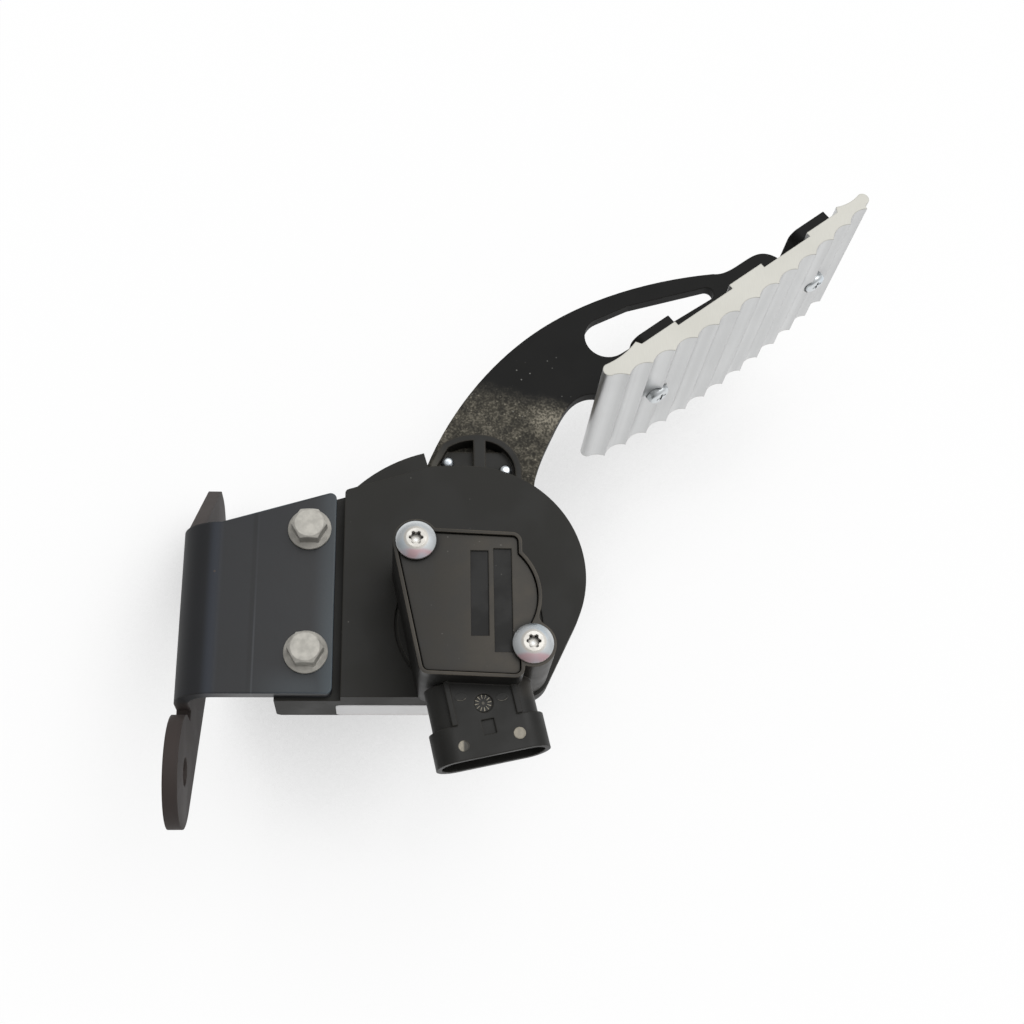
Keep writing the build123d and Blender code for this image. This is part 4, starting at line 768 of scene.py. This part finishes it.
def bolt_finish(colours):
    """Warm grey flake coating on the bracket bolts, with painted shade where the hexagon meets the flange.
    """
    material, tree, shader = start_material("bolt_steel", Metallic=0.35)
    edge = use_group(tree, "Edge Wear", radius=0.0004, gain=4.0)
    grain = use_group(tree, "Moulded Grain", grain_scale=2100.0, cloud_scale=420.0)
    z = axis_of(tree, "Z")
    base = blend(tree, grain["Tone"], lighter(colours.bolt, 0.86), lighter(colours.bolt, 1.12))
    # Painted shade where the hexagon meets the flange
    low = times(tree, between(tree, z, PLATE_Z + 0.0036, PLATE_Z + 0.0012), 0.16)
    foot_shaded = blend(tree, low, base, BOLT_FOOT_SHADE)
    bright = blend(tree, times(tree, edge["Mask"], 0.4), foot_shaded, BOLT_EDGE)
    rough = between(tree, grain["Height"], 0.2, 0.8, 0.42, 0.6)
    feed(tree, shader, bright, rough, grain["Height"], relief=0.2, depth=0.00005, normal=edge["Normal"])
    return material


def label_finish(colours):
    """White film, slightly soiled towards its lower edge."""
    material, tree, shader = start_material("label_film", Specular_IOR_Level=0.4)
    grain = use_group(tree, "Moulded Grain", grain_scale=900.0, cloud_scale=120.0)
    z = axis_of(tree, "Z")
    dulled = times(tree, between(tree, z, WALL_LOW_Z + 0.004, WALL_LOW_Z), 0.35)
    base = blend(tree, grain["Tone"], lighter(colours.label, 0.97), lighter(colours.label, 1.03))
    warm = blend(tree, dulled, base, LABEL_SOIL)
    rough = between(tree, grain["Tone"], 0.0, 1.0, 0.38, 0.46)
    feed(tree, shader, warm, rough)
    return material


def mark_finish(colours):
    """Pale ejector marks, worn unevenly, with a painted shadow over the half of the left mark towards +X."""
    material, tree, shader = start_material("ejector_mark", Specular_IOR_Level=0.4)
    grain = use_group(tree, "Moulded Grain", grain_scale=2600.0, cloud_scale=900.0)
    x = axis_of(tree, "X")
    base = blend(tree, grain["Tone"], lighter(colours.pin_mark, 0.7), colours.pin_mark)
    # A painted shadow over the half of the left mark towards +X
    half = times(tree, band(tree, x, SHADOWED_HALF), 0.9)
    half_shadowed = blend(tree, half, base, colours.sensor)
    rough = between(tree, grain["Tone"], 0.0, 1.0, 0.35, 0.5)
    feed(tree, shader, half_shadowed, rough, grain["Height"], relief=0.2, depth=0.00004)
    return material


def wheel_finish(colours):
    """Black plastic whose raised ticks are rubbed pale."""
    material, tree, shader = start_material("wheel_plastic", Specular_IOR_Level=0.3)
    grain = use_group(tree, "Moulded Grain", grain_scale=2600.0, cloud_scale=700.0)
    z = axis_of(tree, "Z")
    raised = times(
        tree, between(tree, z, PLUG_MOUTH.z + 0.00006, PLUG_MOUTH.z + 0.00013),
        between(tree, grain["Tone"], 0.0, 1.0, 0.55, 1.0))
    base = blend(tree, grain["Tone"], lighter(colours.sensor, 0.9), lighter(colours.sensor, 1.3))
    rubbed = blend(tree, raised, base, colours.pin_mark)
    rough = between(tree, raised, 0.0, 1.0, 0.48, 0.62)
    feed(tree, shader, rubbed, rough, grain["Height"], relief=0.15, depth=0.00004)
    return material


def rotor_finish(colours):
    """Moulded rotor, dusty on the leg of its crown that is nearest the bracket, its edges lightened as wear
    and as a painted highlight.
    """
    material, tree, shader = start_material("rotor_nylon", Specular_IOR_Level=0.26)
    edge = use_group(tree, "Edge Wear", radius=0.0010, gain=4.0)
    grain = use_group(tree, "Moulded Grain", grain_scale=2200.0, cloud_scale=90.0)
    x = axis_of(tree, "X")
    y = axis_of(tree, "Y")
    leg = times(tree, between(tree, x, 0.0860, 0.0800), between(tree, y, 0.040, 0.050))
    base = blend(tree, grain["Tone"], lighter(colours.nylon, 0.9), lighter(colours.nylon, 1.2))
    dusty = blend(tree, times(tree, leg, 0.30), base, lighter(colours.dust, 0.9))
    # Edges lightened as wear and as a painted highlight that makes them look rounder
    worn = blend(tree, times(tree, edge["Mask"], 0.55), dusty, lighter(colours.rubbed, 0.9))
    rough = between(tree, grain["Tone"], 0.0, 1.0, 0.46, 0.58)
    feed(tree, shader, worn, rough, grain["Height"], relief=0.18, depth=0.00006, normal=edge["Normal"])
    return material


def dress(material, *names):
    """One finish on several solids."""
    for name in names:
        slots = NODES[name].data.materials
        slots.clear()
        slots.append(material)


# Operators

class PEDAL_OT_effects(bpy.types.Operator):
    """Build the shared effects that the finishes use"""

    bl_idname = "pedal.effects"
    bl_label = "Shared Effects"

    def execute(self, context):
        edge_wear_group()
        crevice_group()
        moulded_grain_group()
        grit_group()
        drawn_lines_group()
        return {"FINISHED"}


class PEDAL_OT_bracket(bpy.types.Operator):
    """Finish the folded bracket, its bolts and their inserts"""

    bl_idname = "pedal.bracket"
    bl_label = "Bracket"

    def execute(self, context):
        colours = context.scene.pedal_colours
        dress(bracket_finish(colours), "mounting_bracket")
        dress(bolt_finish(colours), "bracket_bolts")
        brass = metal_finish("brass_insert", colours.brass, lighter(colours.brass, 1.2), 0.35)
        dress(brass, "bracket_inserts", "sensor_inserts")
        return {"FINISHED"}


class PEDAL_OT_housing(bpy.types.Operator):
    """Finish the housing and stick the bare label on its wall"""

    bl_idname = "pedal.housing"
    bl_label = "Housing and Label"

    def execute(self, context):
        colours = context.scene.pedal_colours
        sizes = context.scene.pedal_sizes
        dress(nylon_finish("housing_nylon", colours.nylon, colours.rubbed), "housing", "rear_cover")
        dress(nylon_finish("stop_rubber", RUBBER, RUBBER_EDGE, 0.75), "idle_stop", "sensor_seal")
        plate, faces = rounded_plate(
            sizes.label_length, sizes.label_height, sizes.label_corner, sizes.label_thickness)
        points = np.empty_like(plate)
        points[..., 0] = sizes.label_start + sizes.label_length / 2 + plate[..., 0]
        points[..., 1] = WALL_Y - plate[..., 2]
        points[..., 2] = WALL_LOW_Z + LABEL_GAP + sizes.label_height / 2 + plate[..., 1]
        mesh_piece("label_strip", points, faces, label_finish(colours), "mount")
        return {"FINISHED"}


class PEDAL_OT_pivot(bpy.types.Operator):
    """Finish the shaft, bushes, washers, springs and rotor"""

    bl_idname = "pedal.pivot"
    bl_label = "Pivot"

    def execute(self, context):
        colours = context.scene.pedal_colours
        steel = metal_finish("spring_steel", colours.steel, lighter(colours.steel, 0.8), 0.3)
        dress(steel, "pivot_shaft", "retaining_ring", "rear_washer", "wave_washer",
              "outer_return_spring", "inner_return_spring")
        bronze = metal_finish("bush_bronze", lighter(colours.brass, 0.8), lighter(colours.brass, 0.65), 0.45)
        dress(bronze, "front_bushing", "rear_bushing")
        dress(nylon_finish("friction_lining", LINING, LINING_EDGE, 0.7), "friction_disc")
        dress(rotor_finish(colours), "rotor", "magnet_carrier")
        return {"FINISHED"}


class PEDAL_OT_arm(bpy.types.Operator):
    """Finish the arm with its gathered grit"""

    bl_idname = "pedal.arm"
    bl_label = "Arm"

    def execute(self, context):
        dress(arm_finish(context.scene.pedal_colours), "pedal_arm")
        return {"FINISHED"}


class PEDAL_OT_pad(bpy.types.Operator):
    """Finish the fluted pad"""

    bl_idname = "pedal.pad"
    bl_label = "Pad"

    def execute(self, context):
        dress(pad_finish(context.scene.pedal_colours), "pedal_pad")
        return {"FINISHED"}


class PEDAL_OT_sensor(bpy.types.Operator):
    """Finish the sensor case, lid and inner pieces"""

    bl_idname = "pedal.sensor"
    bl_label = "Sensor"

    def execute(self, context):
        colours = context.scene.pedal_colours
        dress(sensor_finish(colours), "sensor_body")
        dress(lid_finish(colours), "sensor_cover")
        laminate = nylon_finish("board_laminate", colours.board, lighter(colours.board, 1.5), 0.35)
        dress(laminate, "circuit_board")
        dress(metal_finish("pin_brass", *TINNED_PIN, 0.25), "connector_pins")
        dress(metal_finish("magnet_ferrite", *FERRITE, 0.5, metallic=0.6), "sensor_magnet")
        return {"FINISHED"}


class PEDAL_OT_screws(bpy.types.Operator):
    """Finish the plated screws"""

    bl_idname = "pedal.screws"
    bl_label = "Screws"

    def execute(self, context):
        zinc = zinc_finish(context.scene.pedal_colours)
        dress(zinc, "sensor_screws", "pad_screws", "rotor_screws", "cover_screws")
        return {"FINISHED"}


class PEDAL_OT_shroud_marks(bpy.types.Operator):
    """Set the ticked insert, ejector marks and faint ovals on the plug shroud"""

    bl_idname = "pedal.shroud_marks"
    bl_label = "Shroud Marks"

    def execute(self, context):
        colours = context.scene.pedal_colours
        sizes = context.scene.pedal_sizes
        dark = wheel_finish(colours)
        relief = sizes.wheel_relief

        def wheel(share, angle):
            """Ticks where the cosine of the ticks' angle is high, between two radii, on a thin disc."""
            tick = np.clip((np.cos(sizes.wheel_ticks * angle) - 0.55) * 5, 0, 1)
            inside = np.clip((0.98 - share) * 30, 0, 1) * np.clip((share - 0.46) * 20, 0, 1)
            hub = 0.4 * np.clip((0.22 - share) * 20, 0, 1)
            return relief * (0.25 + 0.75 * np.maximum(tick * inside, hub)) * np.clip((1 - share) * 60, 0, 1)

        points, faces = round_relief(sizes.wheel_radius, wheel)
        mesh_piece("date_wheel", on_shroud(points, -0.0002, 0.0156), faces, dark, "mount")

        def dish(share, angle):
            """A raised rim round a flat dish."""
            rim = np.exp(-((share - 0.9) / 0.07) ** 2)
            return 0.00005 + 0.00008 * rim - 0.00005 * np.clip((share - 0.97) * 33, 0, 1)

        pale = mark_finish(colours)
        marks = (("ejector_mark_left", -0.0084, 0.0042, 0.92), ("ejector_mark_right", 0.0084, 0.0047, 1.0))
        for name, across, back, size in marks:
            points, faces = round_relief(sizes.pin_mark_radius * size, dish, rings=24, columns=72)
            mesh_piece(name, on_shroud(points, across, back), faces, pale, "mount")

        def crescent(share, angle):
            """The dish's rim, raised only on the side nearest the mouth."""
            rim = np.exp(-((share - 0.82) / 0.12) ** 2) * np.clip(-1.6 * np.sin(angle), 0, 1)
            return (0.00003 + 0.00006 * rim) * np.clip((1 - share) * 30, 0, 1)

        for name, across, back in (("oval_left", -0.0062, 0.0187), ("oval_right", 0.0057, 0.0163)):
            points, faces = round_relief(sizes.oval_radius, crescent, rings=24, columns=72)
            points[..., 1] *= 0.7
            mesh_piece(name, on_shroud(points, across, back), faces, dark, "mount")
        return {"FINISHED"}


class PEDAL_OT_stage(bpy.types.Operator):
    """Make the floor, the light and the camera"""

    bl_idname = "pedal.stage"
    bl_label = "Stage"

    def execute(self, context):
        scene = context.scene
        stage = scene.pedal_stage
        half = stage.floor_size / 2
        mesh = bpy.data.meshes.new("floor")
        low = CAD_BOX[0].z - FLOOR_GAP
        corners = [(-half, -half, low), (half, -half, low), (half, half, low), (-half, half, low)]
        mesh.from_pydata(corners, [], [(0, 1, 2, 3)])
        floor = bpy.data.objects.new("floor", mesh)
        scene.collection.objects.link(floor)
        material, tree, shader = start_material("pale_floor", Roughness=0.9, Specular_IOR_Level=0.0)
        shader.inputs["Base Color"].default_value = (*stage.floor_colour, 1)
        rays = node(tree, "LightPath").outputs
        mirrored = larger(tree, rays["Is Glossy Ray"], rays["Is Transmission Ray"])
        seen = larger(tree, rays["Is Camera Ray"], mirrored)
        # The floor's glow is darkened by ambient occlusion near the pedal: a painted contact shadow
        near = node(tree, "AmbientOcclusion", samples=12, inputs={"Distance": stage.contact_reach})
        white = between(tree, near.outputs["AO"], *CONTACT_SPAN, stage.contact_shade, 1.0)
        glow = node(tree, "Emission", inputs={"Strength": white})
        paper = node(tree, "MixShader", inputs={
            0: times(tree, seen, stage.floor_glow), 1: shader.outputs["BSDF"], 2: glow.outputs["Emission"]})
        tree.links.new(paper.outputs["Shader"], tree.nodes["Material Output"].inputs["Surface"])
        mesh.materials.append(material)

        world = bpy.data.worlds.new("soft_room")
        world.use_nodes = True
        sky = world.node_tree
        height = axis_of(sky, "Z", "Generated")
        level = node(sky, "MapRange", inputs={
            "Value": height, "To Min": stage.horizon_level, "To Max": stage.zenith_level})
        side = node(sky, "VectorMath", operation="DOT_PRODUCT", inputs={
            0: node(sky, "TexCoord").outputs["Generated"], 1: stage.room_side})
        share = node(sky, "MapRange", inputs={
            "Value": side.outputs["Value"], "From Min": -1.0, "From Max": 1.0, "To Min": stage.shade_share})
        strength = node(sky, "Math", operation="MULTIPLY", inputs={
            0: level.outputs["Result"], 1: share.outputs["Result"]})
        sky.links.new(strength.outputs["Value"], sky.nodes["Background"].inputs["Strength"])
        sky.nodes["Background"].inputs["Color"].default_value = (1, 1, 1, 1)
        scene.world = world

        lamp = bpy.data.lights.new("overhead", "SUN")
        lamp.energy = stage.key_level
        lamp.angle = stage.key_spread
        key = bpy.data.objects.new("overhead", lamp)
        key.rotation_euler = Vector(stage.key_from).to_track_quat("Z", "Y").to_euler()
        scene.collection.objects.link(key)

        camera = bpy.data.objects.new("camera", bpy.data.cameras.new("camera"))
        camera.data.lens = stage.lens
        camera.data.sensor_width = 36.0
        camera.data.clip_start = 0.01
        back = CAMERA_RIGHT.cross(CAMERA_UP)
        turn = Matrix((CAMERA_RIGHT, CAMERA_UP, back)).transposed().to_4x4()
        camera.matrix_world = Matrix.Translation(CAMERA_PLACE) @ turn
        scene.collection.objects.link(camera)
        scene.camera = camera
        scene.view_settings.view_transform = "Standard"
        return {"FINISHED"}


class PEDAL_PT_panel(bpy.types.Panel):
    """Lists the steps that dress the pedal"""

    bl_idname = "PEDAL_PT_panel"
    bl_label = "Accelerator Pedal"
    bl_space_type = "VIEW_3D"
    bl_region_type = "UI"
    bl_category = "Pedal"

    def draw(self, context):
        for step in STEPS:
            self.layout.operator(step.bl_idname)


STEPS = (
    PEDAL_OT_effects,
    PEDAL_OT_bracket,
    PEDAL_OT_housing,
    PEDAL_OT_pivot,
    PEDAL_OT_arm,
    PEDAL_OT_pad,
    PEDAL_OT_sensor,
    PEDAL_OT_screws,
    PEDAL_OT_shroud_marks,
    PEDAL_OT_stage,
)
CLASSES = (PedalSizes, PedalColours, PedalStage, *STEPS, PEDAL_PT_panel)


def register():
    for each in CLASSES:
        bpy.utils.register_class(each)
    bpy.types.Scene.pedal_sizes = PointerProperty(type=PedalSizes)
    bpy.types.Scene.pedal_colours = PointerProperty(type=PedalColours)
    bpy.types.Scene.pedal_stage = PointerProperty(type=PedalStage)


def unregister():
    del bpy.types.Scene.pedal_stage
    del bpy.types.Scene.pedal_colours
    del bpy.types.Scene.pedal_sizes
    for each in reversed(CLASSES):
        bpy.utils.unregister_class(each)


def main():
    register()
    bpy.ops.pedal.effects()
    bpy.ops.pedal.bracket()
    bpy.ops.pedal.housing()
    bpy.ops.pedal.pivot()
    bpy.ops.pedal.arm()
    bpy.ops.pedal.pad()
    bpy.ops.pedal.sensor()
    bpy.ops.pedal.screws()
    bpy.ops.pedal.shroud_marks()
    bpy.ops.pedal.stage()


if __name__ == "__main__":
    main()
